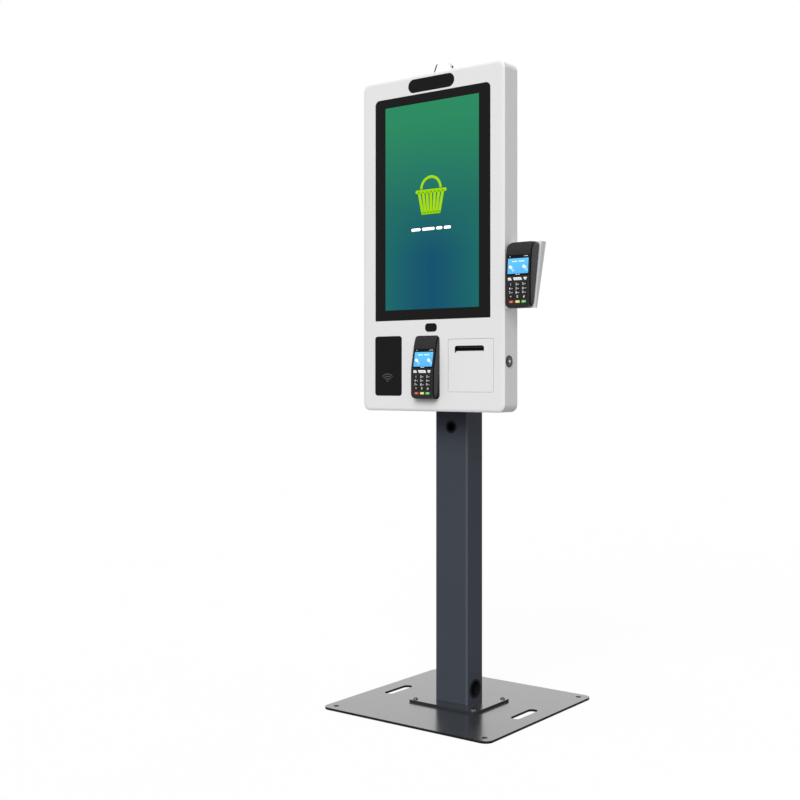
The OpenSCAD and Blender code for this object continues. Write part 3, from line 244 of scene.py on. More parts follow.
def build_groups():
    """The effects that several finishes share."""
    n, given, out = new_group("Fine grain", "Height", Scale=1200.0)
    n.put(out, n.noise(n.place(), given["Scale"], 3.0, 0.6))

    n, given, out = new_group("Colour drift", "Colour", Colour=(0.5, 0.5, 0.5, 1), Amount=0.03, Scale=6.0)
    cloud = n.span(n.noise(n.place(), given["Scale"], 3.0), 0.3, 0.7, -1.0, 1.0)
    factor = n.math("MULTIPLY_ADD", cloud, given["Amount"], 1.0)
    tint = n.add("ShaderNodeVectorMath", {0: given["Colour"]}, operation="SCALE")
    n.put(tint.inputs["Scale"], factor)
    n.put(out, tint.outputs[0])

    n, given, out = new_group("Handling marks", "Roughness", Roughness=0.4, Spread=0.05, Scale=18.0)
    smears = n.noise(n.place(Scale=(1.0, 1.0, 2.6)), given["Scale"], 5.0, 0.65)
    swing = n.span(smears, 0.25, 0.75, -1.0, 1.0)
    n.put(out, n.math("MULTIPLY_ADD", swing, given["Spread"], given["Roughness"], clamp=True))

    n, given, out = new_group("Brushed lines", "Height", Scale=900.0)
    n.put(out, n.noise(n.place(Scale=(0.03, 0.03, 1.0)), given["Scale"]))

    n, given, out = new_group("Settled dust", "Colour", Colour=(0.1, 0.1, 0.1, 1), Dust=(0.4, 0.4, 0.39, 1),
                              Amount=0.05)
    normal = n.add("ShaderNodeNewGeometry").outputs["Normal"]
    upward = n.span(n.add("ShaderNodeSeparateXYZ", {0: normal}).outputs["Z"], 0.4, 1.0)
    specks = n.span(n.noise(n.place(), 240.0, 6.0, 0.75), 0.45, 0.8)
    mask = n.math("MULTIPLY", n.math("MULTIPLY", upward, specks), given["Amount"])
    n.put(out, n.blend(mask, given["Colour"], given["Dust"]))


# ---- Finishes ----

class Finish(Nodes):
    """One material: its nodes, with the shader set up."""

    def __init__(self, name, metallic=0.0, specular=0.5, coat=0.0, coat_roughness=0.1, ior=1.5):
        self.material = bpy.data.materials.new(name)
        self.material.use_nodes = True
        super().__init__(self.material.node_tree)
        self.inputs = self.tree.nodes["Principled BSDF"].inputs
        values = {"Metallic": metallic, "Specular IOR Level": specular, "Coat Weight": coat,
                  "Coat Roughness": coat_roughness, "IOR": ior}
        for label, value in values.items():
            self.inputs[label].default_value = value

    def colour(self, value, drift, scale, dust=0.0):
        shade = self.group("Colour drift", Colour=value, Amount=drift, Scale=scale)
        if dust:
            shade = self.group("Settled dust", Colour=shade, Amount=dust)
        self.put(self.inputs["Base Color"], shade)

    def rough(self, value, spread, scale):
        marks = self.group("Handling marks", Roughness=value, Spread=spread, Scale=scale)
        self.put(self.inputs["Roughness"], marks)

    def bump(self, height, depth, strength):
        bump = self.add("ShaderNodeBump", {"Distance": depth, "Strength": strength, "Height": height})
        self.put(self.inputs["Normal"], bump.outputs["Normal"])

    def glow(self, colour, strength):
        self.put(self.inputs["Emission Color"], colour)
        self.inputs["Emission Strength"].default_value = strength


def sort(drift, rough, grain, effect="Fine grain", dust=0.0, **shader):
    """A sort of finish: its colour drift as (amount, scale), its roughness as (value, spread, scale of the
    marks) and its grain as (scale, depth in mm, strength)."""
    return SimpleNamespace(drift=drift, rough=rough, grain=grain, effect=effect, dust=dust, shader=shader)


SORTS = {
    "enamel": sort((0.008, 4.0), (0.4, 0.03, 18.0), (900.0, 0.05, 0.12), specular=0.45),
    "powder": sort((0.03, 5.0), (0.42, 0.05, 18.0), (1500.0, 0.06, 0.3), dust=0.05, specular=0.045),
    "plate": sort((0.04, 9.0), (0.24, 0.02, 12.0), (700.0, 0.03, 0.06), dust=0.03, specular=0.55,
                  coat=0.68, coat_roughness=0.16, ior=1.9),
    "plastic": sort((0.04, 30.0), (0.5, 0.05, 40.0), (1800.0, 0.05, 0.3), specular=0.2),
    "gloss": sort((0.02, 12.0), (0.12, 0.03, 14.0), (60.0, 0.02, 0.04), specular=0.07),
    "steel": sort((0.06, 300.0), (0.3, 0.08, 60.0), (900.0, 0.03, 0.25), "Brushed lines", metallic=1.0),
    "chrome": sort((0.03, 40.0), (0.09, 0.03, 60.0), (400.0, 0.01, 0.05), metallic=1.0),
    "rubber": sort((0.06, 40.0), (0.62, 0.06, 30.0), (2200.0, 0.08, 0.35), specular=0.08),
    "lamp": sort((0.01, 30.0), (0.4, 0.03, 30.0), (1200.0, 0.03, 0.1), specular=0.3),
}


def surface(sort_name, name, colour, roughness=None, grain=None, depth=None, glow=None, **shader):
    """A material of one of the sorts, with its own roughness, grain, depth of grain or shader values."""
    wanted = SORTS[sort_name]
    value, spread, marks = wanted.rough
    scale, sort_depth, strength = wanted.grain
    made = Finish(name, **{**wanted.shader, **shader})
    made.colour(colour, *wanted.drift, wanted.dust)
    made.rough(roughness or value, spread, marks)
    if glow is not None:
        made.glow(colour, glow)
    made.bump(made.group(wanted.effect, Scale=grain or scale), (depth or sort_depth) * MM, strength)
    return made.material


def finish_circuit(name):
    made = Finish(name)
    made.rough(0.38, 0.05, 60.0)
    brick = made.add("ShaderNodeTexBrick", {
        "Vector": made.place(), "Scale": 160.0, "Mortar Size": 0.035, "Color1": (0.012, 0.10, 0.035),
        "Color2": (0.015, 0.13, 0.05), "Mortar": (0.05, 0.24, 0.09)}, offset=0.5)
    pads = made.math("GREATER_THAN", made.noise(made.place(), 420.0, 1.0), 0.68)
    made.put(made.inputs["Base Color"], made.blend(pads, brick.outputs["Color"], (0.75, 0.62, 0.32)))
    made.bump(made.group("Fine grain", Scale=600.0), 0.05 * MM, 0.2)
    return made.material


def finish_paper(name, axis_y, axis_z):
    """Paper with the rings of a roll about an axis."""
    made = Finish(name, specular=0.2)
    made.colour((0.84, 0.84, 0.82), 0.02, 60.0)
    made.rough(0.75, 0.04, 18.0)
    wave = made.add("ShaderNodeTexWave", {
        "Vector": made.place(Location=(0, -axis_y, -axis_z)), "Scale": 600.0, "Distortion": 0.6},
        wave_type="RINGS", rings_direction="X")
    made.bump(wave.outputs["Fac"], 0.1 * MM, 0.5)
    return made.material


def finish_lit_screen(name, low, high):
    """Gradient of the lit screen, from the foot up and from the middle out."""
    c = colours()
    made = Finish(name, specular=0.03)
    made.rough(0.14, 0.02, 10.0)
    made.put(made.inputs["Base Color"], (0.004, 0.004, 0.004))
    apart = made.add("ShaderNodeSeparateXYZ", {0: made.place()}).outputs
    rise = made.span(apart["Z"], low.z, high.z)
    bowl = made.math("POWER", made.span(made.math("ABSOLUTE", apart["X"]), 0.0, high.x), 1.4)
    lower = made.blend(bowl, c.screen_foot, c.screen_edge)
    upper = made.blend(made.span(rise, 0.5, 0.92), c.screen_middle, c.screen_top)
    centre = made.math("SMOOTH_MAX", made.span(rise, 0.26, 0.52), 0.0, 0.08)
    edge_lift = made.span(made.math("MULTIPLY", bowl, rise), 0.0, 1.0, 0.0, 0.12)
    bright = (c.screen_top[0] * 1.15, c.screen_top[1] * 1.1, c.screen_top[2])
    made.glow(made.blend(edge_lift, made.blend(centre, lower, upper), bright),
              bpy.context.scene.kiosk_screen.glow)
    return made.material


def finish_terminal_screen(name, low, high):
    """Gradient of a terminal's display, from the foot up."""
    blue = colours().display_blue
    made = Finish(name, specular=0.15)
    made.rough(0.16, 0.02, 40.0)
    made.put(made.inputs["Base Color"], (0.01, 0.02, 0.03))
    apart = made.add("ShaderNodeSeparateXYZ", {0: made.place()}).outputs
    rise = made.math("POWER", made.span(apart["Z"], low, high), 1.6)
    made.glow(made.blend(rise, blue, (blue[0] * 1.35, min(blue[1] * 1.25, 1.0), 1.0)), 0.97)
    return made.material


def build_finishes():
    """Makes every material and notes it in the scene under the name that the pieces ask for."""
    c = colours()
    roll = extent("paper_roll")
    # Painted highlight: a lighter copy of the column's coating for its rounded corners, where they catch the
    # light.
    corner_highlight = [value * 1.6 for value in c.column]
    made = {
        "enamel": surface("enamel", "white_enamel", c.enamel),
        "bracket": surface("enamel", "pale_grey_enamel", c.bracket),
        "powder": surface("powder", "column_powder_coat", c.column),
        "powder_corner_highlight": surface("powder", "column_rubbed_corner", corner_highlight),
        "plate": surface("plate", "plate_gloss_coat", c.plate),
        # Painted shade: near-black finishes for the faces of the base plate and of the column's flange that
        # do not face up.
        "plate_side_shade": surface("plastic", "plate_cut_edge", (0.008, 0.008, 0.009), 0.6, 900.0, specular=0.1),
        "flange_side_shade": surface(
            "plastic", "flange_cut_edge", (0.024, 0.027, 0.032), 0.6, 900.0, specular=0.1),
        "foot_bolt": surface("steel", "foot_bolt_steel", (0.13, 0.13, 0.135)),
        "zinc": surface("steel", "zinc_plated_steel", (0.55, 0.56, 0.58), 0.28),
        "dark_steel": surface("steel", "dark_plated_steel", (0.05, 0.05, 0.055), 0.4),
        "sheet": surface("steel", "galvanised_sheet", (0.60, 0.61, 0.63), 0.42),
        # Painted reflection: the lock's chrome has a dark base so it shows a dark reflection, and a bright
        # copy for the middle of the plug as a painted highlight.
        "chrome": surface("chrome", "dark_chrome", (0.1, 0.1, 0.105)),
        "polished": surface("chrome", "polished_chrome", (0.78, 0.79, 0.8)),
        "lock_black": surface("gloss", "black_plated_casting", (0.02, 0.02, 0.022), 0.3, specular=0.3),
        "rubber": surface("rubber", "black_rubber", (0.008, 0.008, 0.009)),
        "plastic": surface("plastic", "black_moulding", (0.014, 0.014, 0.015)),
        # Near-black moulding of the paper slot and the lamp's dot, also given to the terminals' swipe
        # grooves as painted shade.
        "slot_black_and_shade": surface("plastic", "slot_black_moulding", (0.004, 0.004, 0.004), 0.6, specular=0.06),
        "printer": surface("plastic", "printer_moulding", (0.045, 0.048, 0.055), 0.55),
        "glass_border": surface("gloss", "glass_black_border", c.glass_border, 0.14),
        "acrylic": surface("gloss", "window_acrylic", c.acrylic, 0.16),
        "symbol": surface("plastic", "printed_grey", c.print_grey),
        "circuit": finish_circuit("circuit_board"),
        "paper": finish_paper("thermal_paper", roll.y, roll.z),
        "card_core": surface("plastic", "cardboard_core", (0.38, 0.27, 0.16), 0.8, 500.0),
        "diffuser": surface("lamp", "frosted_diffuser", (0.88, 0.88, 0.88), glow=0.0),
        # Painted highlight: white for the lamp's right cap, where the light catches it.
        "lamp_cap_highlight": surface("plastic", "white_moulding", (0.86, 0.86, 0.86), 0.4),
        "terminal": surface("plastic", "terminal_casing", c.terminal, 0.42, 2400.0, 0.04),
        "terminal_rail": surface("plastic", "terminal_side_rail", c.terminal_rail, 0.36, 2400.0),
        "lens": surface("gloss", "terminal_lens", (0.003, 0.003, 0.0035), 0.1, specular=0.1),
        "screen_white": surface("lamp", "display_white", (0.95, 0.97, 1.0), glow=0.85),
        "display_pale": surface("lamp", "display_pale", (0.72, 0.9, 1.0), glow=0.5),
        "key_dark": surface("rubber", "keypad_dark", (0.018, 0.018, 0.02)),
        "key_white": surface("plastic", "key_white", (0.86, 0.86, 0.87), 0.45),
        "key_red": surface("plastic", "key_red", (0.63, 0.07, 0.05), 0.4),
        "key_yellow": surface("plastic", "key_yellow", (0.87, 0.78, 0.13), 0.4),
        "key_green": surface("plastic", "key_green", (0.14, 0.64, 0.19), 0.4),
        "legend": surface("plastic", "key_legend", c.legend),
        "legend_dark": surface("plastic", "key_legend_dark", (0.05, 0.05, 0.055)),
        "legend_pale": surface("plastic", "key_legend_pale", (0.85, 0.85, 0.85)),
        "basket": surface("lamp", "basket_symbol", c.basket, glow=0.7, specular=0.03),
    }
    for name, material in made.items():
        bpy.context.scene["kiosk_finish_" + name] = material.name


def finish(name):
    """The material that build_finishes made under this name."""
    return bpy.data.materials[bpy.context.scene["kiosk_finish_" + name]]


# ---- Mesh tools ----

def arc(start, end, steps):
    """Angles in radians, evenly from one to another that are given in degrees."""
    return [math.radians(start + (end - start) * i / steps) for i in range(steps + 1)]


HEXAGON = arc(0, 300, 5)


def round_points(x, z, radius, angles):
    """Points at a radius about (x, z)."""
    return [(x + radius * math.cos(angle), z + radius * math.sin(angle)) for angle in angles]


def extent(node):
    """A node's lowest and highest corner, its middle in x, y and z, and its width and height."""
    low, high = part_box(node)
    x, y, z = [(a + b) / 2 for a, b in zip(low, high)]
    return SimpleNamespace(low=low, high=high, x=x, y=y, z=z, width=high.x - low.x, height=high.z - low.z)


def outline(width, height, radius, steps=8, leans=(0.0, 0.0), foot=None):
    """Points of a rounded rectangle about the origin.

    The leans slant its two ends, in width per height. foot is the radius of the two lower corners,
    where it is not that of the upper ones."""
    points = []
    for side, end, start in ((1, 1, 0), (-1, 1, 90), (-1, -1, 180), (1, -1, 270)):
        corner = radius if foot is None or end > 0 else foot
        corner = max(min(corner, width / 2 - TINY, height / 2 - TINY), TINY)
        for angle in arc(start, start + 90, steps):
            x = side * (width / 2 - corner) + corner * math.cos(angle)
            z = end * (height / 2 - corner) + corner * math.sin(angle)
            blend = x / width + 0.5
            points.append((x + z * (leans[0] * (1 - blend) + leans[1] * blend), z))
    return points


def ring(bm, points, y, x=0.0, z=0.0):
    """A loop of points that faces the front, at depth y."""
    return [bm.verts.new((x + px, y, z + pz)) for px, pz in points]


def ring_side(bm, points, x):
    """A loop of (y, z) points that faces the side, at x."""
    return [bm.verts.new((x, y, z)) for y, z in points]


def ring_flat(bm, points, z):
    """A level loop of (x, y) points, at height z."""
    return [bm.verts.new((x, y, z)) for x, y in points]


def bridge(bm, first, second):
    """Faces between two loops with the same number of points."""
    count = len(first)
    return [bm.faces.new((first[i], first[(i + 1) % count], second[(i + 1) % count], second[i]))
            for i in range(count)]


def loft(bm, loops):
    """Faces along a row of loops."""
    for first, second in zip(loops, loops[1:]):
        bridge(bm, first, second)


def closed(bm, loops):
    """Faces along a row of loops, and one over each end."""
    loft(bm, loops)
    bm.faces.new(loops[0][::-1])
    bm.faces.new(loops[-1])


def strip(bm, first, second):
    """Faces between two open rows of points."""
    for i in range(len(first) - 1):
        bm.faces.new((first[i], first[i + 1], second[i + 1], second[i]))


def fill(bm, outer, holes):
    """Fills the flat area inside one loop and outside the loops of its holes."""
    lines = []
    for loop in (outer, *holes):
        for a, b in zip(loop, loop[1:] + loop[:1]):
            lines.append(bm.edges.get((a, b)) or bm.edges.new((a, b)))
    bmesh.ops.triangle_fill(bm, edges=lines, use_beauty=True, use_dissolve=False)


def edge_steps(radius, steps=3):
    """(inset, rise) pairs round an edge, from the side wall to the face."""
    return [(radius * (1 - math.cos(t)), radius * math.sin(t)) for t in arc(0, 90, steps)]


def plate(bm, width, height, radius, front, back, edge, x, z, steps=12, foot=None):
    """A plate with round corners and soft edges, still open in front. Returns its front loop."""
    foot = radius if foot is None else foot

    def level(inset, y):
        shape = outline(width - 2 * inset, height - 2 * inset, radius - inset, steps, foot=foot - inset)
        return ring(bm, shape, y, x, z)

    back_edge = edge / 2
    loops = [level(inset, back - back_edge + rise) for inset, rise in reversed(edge_steps(back_edge, 2))]
    loops += [level(inset, front + edge - rise) for inset, rise in edge_steps(edge)]
    loft(bm, loops)
    bm.faces.new(loops[0][::-1])
    return loops[-1]


def round_loop(bm, centre, axis, along, radii):
    """A loop about an axis, at a distance along it, with a radius for each step of the turn."""
    side = axis.orthogonal().normalized()
    other = axis.cross(side)
    loop = []
    for i, radius in enumerate(radii):
        angle = 2 * math.pi * i / len(radii)
        turn = side * math.cos(angle) + other * math.sin(angle)
        loop.append(bm.verts.new(Vector(centre) + axis * along + turn * radius))
    return loop


def turned(bm, profile, centre, axis, segments=48, tube=False):
    """Spins (radius, distance) pairs about an axis. A tube joins round on itself in place of having ends."""
    loops = [round_loop(bm, centre, axis, along, [radius] * segments) for radius, along in profile]
    if tube:
        loft(bm, loops + loops[:1])
    else:
        closed(bm, loops)
    return loops


def socket_screw(bm, tip, axis, reach, head, head_height, shank=8 * MM, segments=36):
    """A button-head screw with a hexagon socket. tip is the end of the shank, axis points to the head."""
    under, rim = reach - head_height, 0.08
    profile = [(shank * 0.4, 0), (shank / 2, shank * 0.1), (shank / 2, under), (head * 0.48, under),
               (head / 2, under + head_height * rim)]
    for t in arc(15, 75, 4):
        profile.append((head / 2 * (0.55 + 0.45 * math.cos(t)),
                        under + head_height * (rim + (1 - rim) * math.sin(t))))
    loops = [round_loop(bm, tip, axis, along, [radius] * segments) for radius, along in profile]
    sector = math.pi / 3
    flats = [math.cos(sector / 2) / math.cos(2 * math.pi * i / segments % sector - sector / 2)
             for i in range(segments)]
    socket = head * 0.26
    for along, across in ((reach, socket * 1.12), (reach, socket), (reach - head_height * 0.55, socket)):
        loops.append(round_loop(bm, tip, axis, along, [across * flat for flat in flats]))
    closed(bm, loops)


def node_mesh(node):
    """The mesh of a node, with the points that lie on one another joined."""
    bm = bmesh.new()
    bm.from_mesh(frame["nodes"][node].data)
    bmesh.ops.remove_doubles(bm, verts=bm.verts, dist=1e-6)
    return bm


def islands(node):
    """The box of each separate solid in a node, as (lowest corner, highest corner) pairs."""
    bm = node_mesh(node)
    bm.verts.ensure_lookup_table()
    seen, boxes = set(), []
    for start in bm.verts:
        if start.index in seen:
            continue
        stack, members = [start], []
        seen.add(start.index)
        while stack:
            vert = stack.pop()
            members.append(vert.co.copy())
            for edge in vert.link_edges:
                other = edge.other_vert(vert)
                if other.index not in seen:
                    seen.add(other.index)
                    stack.append(other)
        boxes.append(tuple(Vector([pick(p[i] for p in members) for i in range(3)]) for pick in (min, max)))
    bm.free()
    return sorted(boxes, key=lambda box: [round(box[0][i], 4) for i in (2, 0, 1)])


def new_object(name, data):
    """An object in the scene."""
    obj = bpy.data.objects.new(name, data)
    bpy.context.scene.collection.objects.link(obj)
    return obj


def mesh_object(name, bm):
    """An object made of a mesh that is done with."""
    mesh = bpy.data.meshes.new(name)
    bm.to_mesh(mesh)
    bm.free()
    return new_object(name, mesh)


def final_mesh(obj):
    """A mesh of an object as it looks after its modifiers."""
    return bpy.data.meshes.new_from_object(obj.evaluated_get(bpy.context.evaluated_depsgraph_get()))


def modifier(obj, name, kind, **settings):
    """A new modifier that comes before the others."""
    made = obj.modifiers.new(name, kind)
    for label, value in settings.items():
        setattr(made, label, value)
    obj.modifiers.move(len(obj.modifiers) - 1, 0)
    return made


def smooth(obj, sharp):
    """Smooth shading, with the edges kept that are sharper than an angle in degrees."""
    obj.data.shade_smooth()
    obj.data.set_sharp_from_angle(angle=math.radians(sharp))


def piece(name, bm, finishes, body, replaces=(), sharp=38, turn_out=True):
    """Makes a mesh into a piece of the kiosk that rides on a body."""
    if turn_out:
        bmesh.ops.recalc_face_normals(bm, faces=bm.faces)
    obj = mesh_object(name, bm)
    for each in finishes:
        obj.data.materials.append(finish(each))
    smooth(obj, sharp)
    modifier(obj, "Weighted normals", "WEIGHTED_NORMAL", keep_sharp=True)
    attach(obj, body)
    if replaces:
        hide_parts(*replaces)
    return obj


def carve(obj, bm):
    """Cuts the shape of a mesh out of a piece."""
    bmesh.ops.recalc_face_normals(bm, faces=bm.faces)
    tool = mesh_object("tool", bm)
    cut = modifier(obj, "Cut", "BOOLEAN", operation="DIFFERENCE", solver="EXACT", object=tool)
    for other in obj.modifiers[1:]:
        other.show_viewport = False
    result = final_mesh(obj)
    if not result.polygons:
        raise RuntimeError(f"cutting {obj.name} left nothing")
    obj.modifiers.remove(cut)
    for other in obj.modifiers:
        other.show_viewport = True
    result.name = obj.name
    old, obj.data = obj.data, result
    tool_mesh = tool.data
    bpy.data.objects.remove(tool)
    for mesh in (old, tool_mesh):
        bpy.data.meshes.remove(mesh)
    smooth(obj, 35)


def softened(node, finish_name, edge, segments=3, angle=32, split_x=None):
    """The shape of a node with its sharp edges rounded, shown in place of the node."""
    bm = node_mesh(node)
    bmesh.ops.dissolve_limit(bm, angle_limit=math.radians(0.6), verts=bm.verts, edges=bm.edges,
                             delimit={"NORMAL"})
    if split_x is not None:
        bmesh.ops.bisect_plane(bm, geom=bm.verts[:] + bm.edges[:] + bm.faces[:],
                               plane_co=(split_x, 0, 0), plane_no=RIGHT)
    body = frame["nodes"][node]["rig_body"]
    made = piece(node + "_shape", bm, [finish_name], body, [node], sharp=angle)
    modifier(made, "Soft edges", "BEVEL", width=edge, segments=segments, limit_method="ANGLE",
             angle_limit=math.radians(angle), use_clamp_overlap=True, miter_outer="MITER_ARC")
    return made


def refinish(obj, finish_name, wanted):
    """Gives a further finish to the faces that wanted picks by their centre and direction."""
    index = len(obj.data.materials)
    obj.data.materials.append(finish(finish_name))
    for face in obj.data.polygons:
        if wanted(face.center, face.normal):
            face.material_index = index


def dress(node, finish_name):
    """Gives a node that keeps its own shape a new finish."""
    obj = frame["nodes"][node]
    obj.data.materials.clear()
    obj.data.materials.append(finish(finish_name))


def flat_print(bm, shapes, front, thickness=0.06 * MM, index=0):
    """Thin printed shapes: each is a list of (x, z) points, and front is the depth of their face."""
    for points in shapes:
        near, far = ring(bm, points, front), ring(bm, points, front + thickness)
        for face in (*bridge(bm, far, near), bm.faces.new(near), bm.faces.new(far[::-1])):
            face.material_index = index


def arc_band(x, z, radius, width, start, end, steps=24):
    """Points of a curved band about (x, z), from one angle to another in degrees."""
    outside, inside = [round_points(x, z, reach, arc(start, end, steps))
                       for reach in (radius + width / 2, radius - width / 2)]
    return outside + inside[::-1]


def bars(rows, x, z):
    """Straight bars with round ends about (x, z), from rows of (x0, z0, x1, z1, width) in millimetres."""
    shapes = []
    for row in rows:
        x0, z0, x1, z1, width = [value * MM for value in row]
        heading = math.atan2(z1 - z0, x1 - x0)
        shape = []
        for cx, cz, start in ((x1, z1, -90), (x0, z0, 90)):
            turn = [heading + angle for angle in arc(start, start + 180, 6)]
            shape += round_points(x + cx, z + cz, width / 2, turn)
        shapes.append(shape)
    return shapes


# ---- Head ----

# What fills each opening in the head's front: the gap on its left and on its other sides, and the radii
# of its upper and of its lower corners, in millimetres.
FRONT_PARTS = {
    "touch_glass": (0.3, 0.3, 13, 2), "camera_window": (0.3, 0.3, 16.9, 16.9),
    "scanner_window": (0.3, 0.3, 8.5, 8.5), "reader_panel": (0.3, 0.3, 8, 8),
    "printer_door": (1.2, 0.6, 3, 3), "front_terminal_case": (0.5, 0.5, 10, 10),
}


def front_openings():
    """(x, z, width, height, upper radius, lower radius) of each opening in the head's front."""
    found = []
    for node, (left_gap, gap, radius, foot) in FRONT_PARTS.items():
        low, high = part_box(node)
        left, right = low.x - left_gap * MM, high.x + gap * MM
        found.append(((left + right) / 2, (low.z + high.z) / 2, right - left,
                      high.z - low.z + 2 * gap * MM, (radius + gap) * MM, (foot + gap) * MM))
    return found


def front_profile():
    """(inset, rise) round the head's front: a slow roll, then a tight arris to the side wall."""
    tilt = 22
    sin, cos = math.sin(math.radians(tilt)), math.cos(math.radians(tilt))
    roll, arris = edges().front_roll, edges().front_arris
    sweep = roll / sin
    inset, rise = roll + arris * (1 - sin), sweep * (1 - cos) + arris * cos
    steps = [(roll + arris * (math.sin(turn) - sin), sweep * (1 - cos) + arris * (cos - math.cos(turn)))
             for turn in arc(90, tilt, 6)]
    steps += [(sweep * math.sin(turn), sweep * (1 - math.cos(turn))) for turn in arc(tilt, 0, 8)[1:]]
    return [(inset - across, rise - drop) for across, drop in steps], rise


def build_front_housing():
    head, lock = extent("front_housing"), extent("lock_barrel")
    front, back = head.low.y, head.high.y
    wall, corner, lip, cutout = 3 * MM, 20 * MM, edges().sheet_edge, edges().cutout_edge
    ledge_width, ledge_corner = 12 * MM, 15 * MM
    ledge_back = back - 2 * MM
    ledge_front = ledge_back - 3 * MM
    narrow = 0.66
    bm = bmesh.new()

    def level(inset, y, radius=None, share_up=1.0):
        radius = corner - inset * (1 + share_up) / 2 if radius is None else radius
        shape = outline(head.width - 2 * inset, head.height - 2 * inset * share_up, radius, 14)
        return ring(bm, shape, y, head.x, head.z)

    loops = [level(wall, front + wall), level(wall, ledge_front),
             level(wall + ledge_width, ledge_front, ledge_corner),
             level(wall + ledge_width, ledge_back, ledge_corner), level(wall, ledge_back), level(wall, back)]
    loops += [level(inset, back - lip + rise) for inset, rise in reversed(edge_steps(lip))]
    profile, depth = front_profile()
    loops += [level(inset, front + depth - rise, share_up=narrow) for inset, rise in profile]
    loft(bm, loops)
    front_holes, inner_holes = [], []
    for hole_x, hole_z, hole_width, hole_height, radius, foot in front_openings():
        rings = []
        for inset, depth in [(i, cutout - rise) for i, rise in reversed(edge_steps(cutout))] + [(0, wall)]:
            shape = outline(hole_width + 2 * inset, hole_height + 2 * inset, radius + inset, 12,
                            foot=foot + inset)
            rings.append(ring(bm, shape, front + depth, hole_x, hole_z))
        loft(bm, rings)
        front_holes.append(rings[0])
        inner_holes.append(rings[-1])
    fill(bm, loops[-1], front_holes)
    fill(bm, loops[0], inner_holes)
    housing = piece("head_housing", bm, ["enamel"], "kiosk", ["front_housing"])
    tool = bmesh.new()
    slot_width, slot_length, slot_pitch = 3 * MM, 28 * MM, 6 * MM
    for node_low, node_high in islands("loudspeakers"):
        middle = (node_low + node_high) / 2
        for i in range(-3, 4):
            shape = [(middle.x + i * slot_pitch + px, middle.y + py)
                     for px, py in outline(slot_width, slot_length, slot_width / 2 - TINY, 5)]
            closed(tool, [ring_flat(tool, shape, head.low.z + z) for z in (-MM, wall + MM)])
    bore = 9.6 * MM
    turned(tool, [(bore, -5 * MM), (bore, 5 * MM)], (head.high.x, lock.y, lock.z), RIGHT, 40)
    carve(housing, tool)


def build_rear_cover():
    softened("rear_cover", "enamel", edges().sheet_edge)
    bm = bmesh.new()
    side = extent("front_housing").high.x - 5 * MM
    shank, head_height = 4 * MM, 2.4 * MM
    for low, high in islands("housing_screws"):
        middle, size = (low + high) / 2, high - low
        if size.x < size.y or abs(middle.x) < side:
            tip, axis, reach, head = (middle.x, low.y, middle.z), BACK, size.y, size.x
        else:
            tip, axis, reach, head = (low.x, middle.y, middle.z), RIGHT, size.x, size.z
        socket_screw(bm, tip, axis, reach, head, head_height, shank, 24)
    piece("cover_screws", bm, ["zinc"], "kiosk", ["housing_screws"])


def build_lamp():
    softened("status_lamp", "diffuser", 0.5 * MM)
    cap = extent("lamp_caps")
    caps = softened("lamp_caps", "plastic", 0.8 * MM, split_x=cap.x)
    # Painted highlight: the right half of the caps gets the white finish; the left half keeps the black.
    refinish(caps, "lamp_cap_highlight", lambda at, facing: at.x > cap.x)
    bm = bmesh.new()
    slope = Vector((cap.height, 0, 10 * MM)).normalized()
    foot = Vector((cap.high.x - 7.2 * MM, cap.high.y - 4 * MM, cap.low.z + 22 * MM))
    dome = [(radius * MM, along * MM) for radius, along in ((3, -2), (3, 0.5), (2.6, 0.9), (1.5, 1.1))]
    turned(bm, dome, foot, slope, 24)
    piece("lamp_sensor", bm, ["slot_black_and_shade"], "kiosk")


# ---- Screen and windows ----

def front_plate(bm, node):
    """The plate that fills an opening in the head's front, still open in front. Returns its front loop."""
    part = extent(node)
    radius, foot = [value * MM for value in FRONT_PARTS[node][2:]]
    return plate(bm, part.width, part.height, radius, part.low.y, part.high.y, edges().glass_edge,
                 part.x, part.z, foot=foot)


def build_touch_glass():
    glass, s = extent("touch_glass"), bpy.context.scene.kiosk_screen
    face, lit_z = glass.low.y, glass.z + s.lit_rise
    bm = bmesh.new()
    front = front_plate(bm, "touch_glass")
    lit = ring(bm, outline(s.lit_width, s.lit_height, 0.6 * MM, 3), face, glass.x, lit_z)
    fill(bm, front, [lit])
    bm.faces.new(lit).material_index = 1
    reach, middle = Vector((s.lit_width / 2, 0, s.lit_height / 2)), Vector((glass.x, face, lit_z))
    made = piece("touch_screen", bm, ["glass_border"], "kiosk", ["touch_glass"])
    made.data.materials.append(finish_lit_screen("lit_screen", middle - reach, middle + reach))
    build_basket(glass.x, lit_z + 24 * MM, face - 0.05 * MM)


def build_basket(x, z, front):
    """A plain shopping basket and a row of bars under it, shown on the lit screen."""
    basket = [arc_band(x, z + 18 * MM, 30 * MM, 7 * MM, 0, 180, 32)]
    slats = [(i * 12.3, 9, i * 8.8, -41, 8.2) for i in range(-3, 4)]
    basket += bars([(-44, 12, 44, 12, 9), (-27, -43, 27, -43, 7), *slats], x, z)
    dashes = ((-58, -36), (-24, 8), (20, 32), (44, 58))
    row = bars([(start, -84, end, -84, 7) for start, end in dashes], x, z)
    for name, shapes, look in (("basket_symbol", basket, "basket"), ("screen_bar", row, "screen_white")):
        bm = bmesh.new()
        flat_print(bm, shapes, front)
        piece(name, bm, [look], "kiosk")


def build_windows():
    for node in ("camera_window", "scanner_window", "reader_panel"):
        bm = bmesh.new()
        bm.faces.new(front_plate(bm, node))
        piece(node + "_cover", bm, ["acrylic"], "kiosk", [node])


